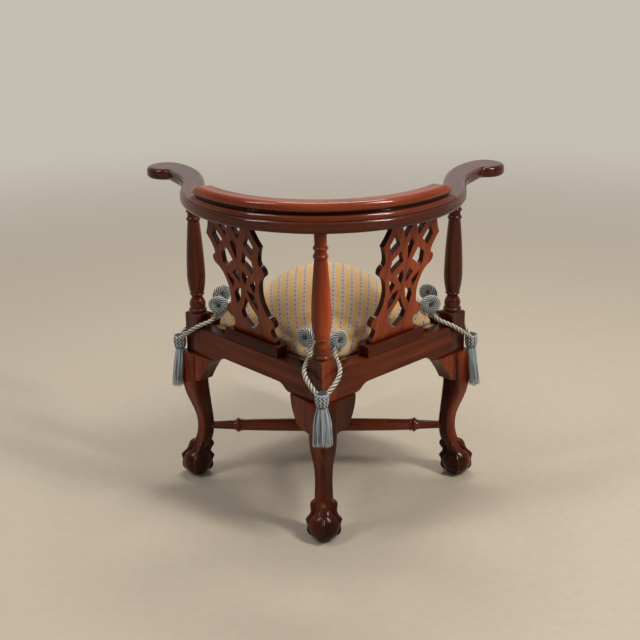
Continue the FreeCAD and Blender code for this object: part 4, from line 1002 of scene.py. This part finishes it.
def fabric(spec):
    material, tree, shader = newMaterial("stripedCloth")
    runs = parted(tree, attribute(tree, "runs", "Vector"))
    across, along = runs[0], runs[1]
    coords = objectCoords(tree)
    slub = noised(tree, coords, spec["slubScale"], spec["slubDetail"])
    cloud = noised(tree, coords, spec["cloudScale"], spec["cloudDetail"])
    wave = math.pi / spec["thread"]
    warp = reckon(tree, "SINE", times(tree, across, wave))
    weft = reckon(tree, "SINE", times(tree, along, wave))
    weave = times(tree, warp, weft)

    fromStripe = reckon(tree, "PINGPONG", across, spec["pitch"] / 2.0)
    side = spec["stripeWide"] / 2.0
    soft = spec["stripeSoft"]
    stripe = ranged(tree, fromStripe, side - soft, side + soft, 1.0, 0.0, smooth=True)
    inEdge = ranged(tree, fromStripe, side - spec["edgeFrom"], side - spec["edgeTo"], smooth=True)
    edge = times(tree, stripe, inEdge)

    fromDot = reckon(tree, "PINGPONG", along, spec["dotPitch"] / 2.0)
    squares = [reckon(tree, "POWER", way, 2.0) for way in (fromStripe, fromDot)]
    dotFar = reckon(tree, "SQRT", reckon(tree, "ADD", *squares))
    radius, soft = spec["dotRadius"], spec["dotSoft"]
    dot = ranged(tree, dotFar, radius - soft, radius + soft, 1.0, 0.0, smooth=True)
    number = reckon(tree, "ROUND", reckon(tree, "DIVIDE", along, spec["dotPitch"]))
    odd = reckon(tree, "PINGPONG", number, 1.0)

    ground = blended(tree, slub, spec["goldShade"], spec["gold"])
    worn = times(tree, stripe, ranged(tree, slub, *spec["slubRange"], smooth=True))
    striped = blended(tree, worn, ground, spec["stripe"])
    lined = blended(tree, times(tree, edge, spec["edgeShare"]), striped, spec["edge"])
    dots = blended(tree, odd, spec["red"], spec["blue"])
    dotted = blended(tree, times(tree, dot, spec["dotShare"]), lined, dots)
    threads = ranged(tree, weave, *spec["weaveRange"], smooth=True)
    tone = times(tree, threads, ranged(tree, cloud, *spec["cloudRange"], smooth=True))
    tree.links.new(scaled(tree, dotted, tone), shader.inputs["Base Color"])

    relief = times(tree, weave, spec["weaveRelief"])
    for height, share in ((slub, spec["slubRelief"]), (stripe, spec["stripeRelief"])):
        relief = reckon(tree, "ADD", relief, times(tree, height, share))
    tree.links.new(bumped(tree, relief, *spec["bump"]), shader.inputs["Normal"])
    shader.inputs["Roughness"].default_value = spec["roughness"]
    shader.inputs["Sheen Weight"].default_value = spec["sheen"]
    shader.inputs["Sheen Roughness"].default_value = spec["sheenRoughness"]
    shader.inputs["Specular IOR Level"].default_value = spec["gloss"]
    return material


def makeCushion(spec):
    source = cushionMesh(spec)
    places = settleCushion(source, spec)
    mesh = source.data
    mesh.name = "cushion_cover"
    source.name = "cushion_cover"
    runs = mesh.attributes.new("runs", "FLOAT_VECTOR", "POINT")
    runs.data.foreach_set("vector", clothRuns(source, places, spec).ravel())
    setMaterials(source, fabric(fabricSpec))
    smoothFaces(mesh)
    smooth = source.modifiers.new("smooth", "SUBSURF")
    smooth.levels = 1
    smooth.render_levels = 1
    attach(source, chairBody)
    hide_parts("cushion")


makeCushion(cushionSpec)
print("cushion made")


# Pieces behind: plain pale wood and steel

pineSpec = {
    "light": (0.52, 0.36, 0.20, 1.0), "dark": (0.34, 0.21, 0.10, 1.0),
    "stretch": (90.0, 6.0, 90.0), "detail": 5.0, "distortion": 0.8, "range": (0.3, 0.7),
    "bump": (0.2, 0.0004),
    "roughness": 0.62,
}

steelSpec = {
    "light": (0.42, 0.41, 0.40, 1.0), "dark": (0.26, 0.25, 0.24, 1.0),
    "wearScale": 700.0, "wearDetail": 3.0,
    "roughness": (0.28, 0.53),
}


def plainWood(spec):
    material, tree, shader = newMaterial("paleWood")
    inputs = {"Vector": objectCoords(tree), "Scale": spec["stretch"]}
    drawn = addNode(tree, "ShaderNodeMapping", inputs).outputs[0]
    rings = noised(tree, drawn, 1.0, spec["detail"], spec["distortion"])
    color = blended(tree, ranged(tree, rings, *spec["range"]), spec["dark"], spec["light"])
    tree.links.new(color, shader.inputs["Base Color"])
    tree.links.new(bumped(tree, rings, *spec["bump"]), shader.inputs["Normal"])
    shader.inputs["Roughness"].default_value = spec["roughness"]
    return material


def screwSteel(spec):
    material, tree, shader = newMaterial("screwSteel")
    wear = noised(tree, objectCoords(tree), spec["wearScale"], spec["wearDetail"])
    smooth, rough = spec["roughness"]
    tree.links.new(blended(tree, wear, spec["dark"], spec["light"]), shader.inputs["Base Color"])
    tree.links.new(ranged(tree, wear, start=smooth, end=rough), shader.inputs["Roughness"])
    shader.inputs["Metallic"].default_value = 1.0
    return material


hiddenFinish = {"secondary_wood": plainWood(pineSpec), "screw_steel": screwSteel(steelSpec)}
for node, slotName in slotOf.items():
    if slotName in hiddenFinish:
        setMaterials(cad[node], hiddenFinish[slotName])
print("inner pieces finished")
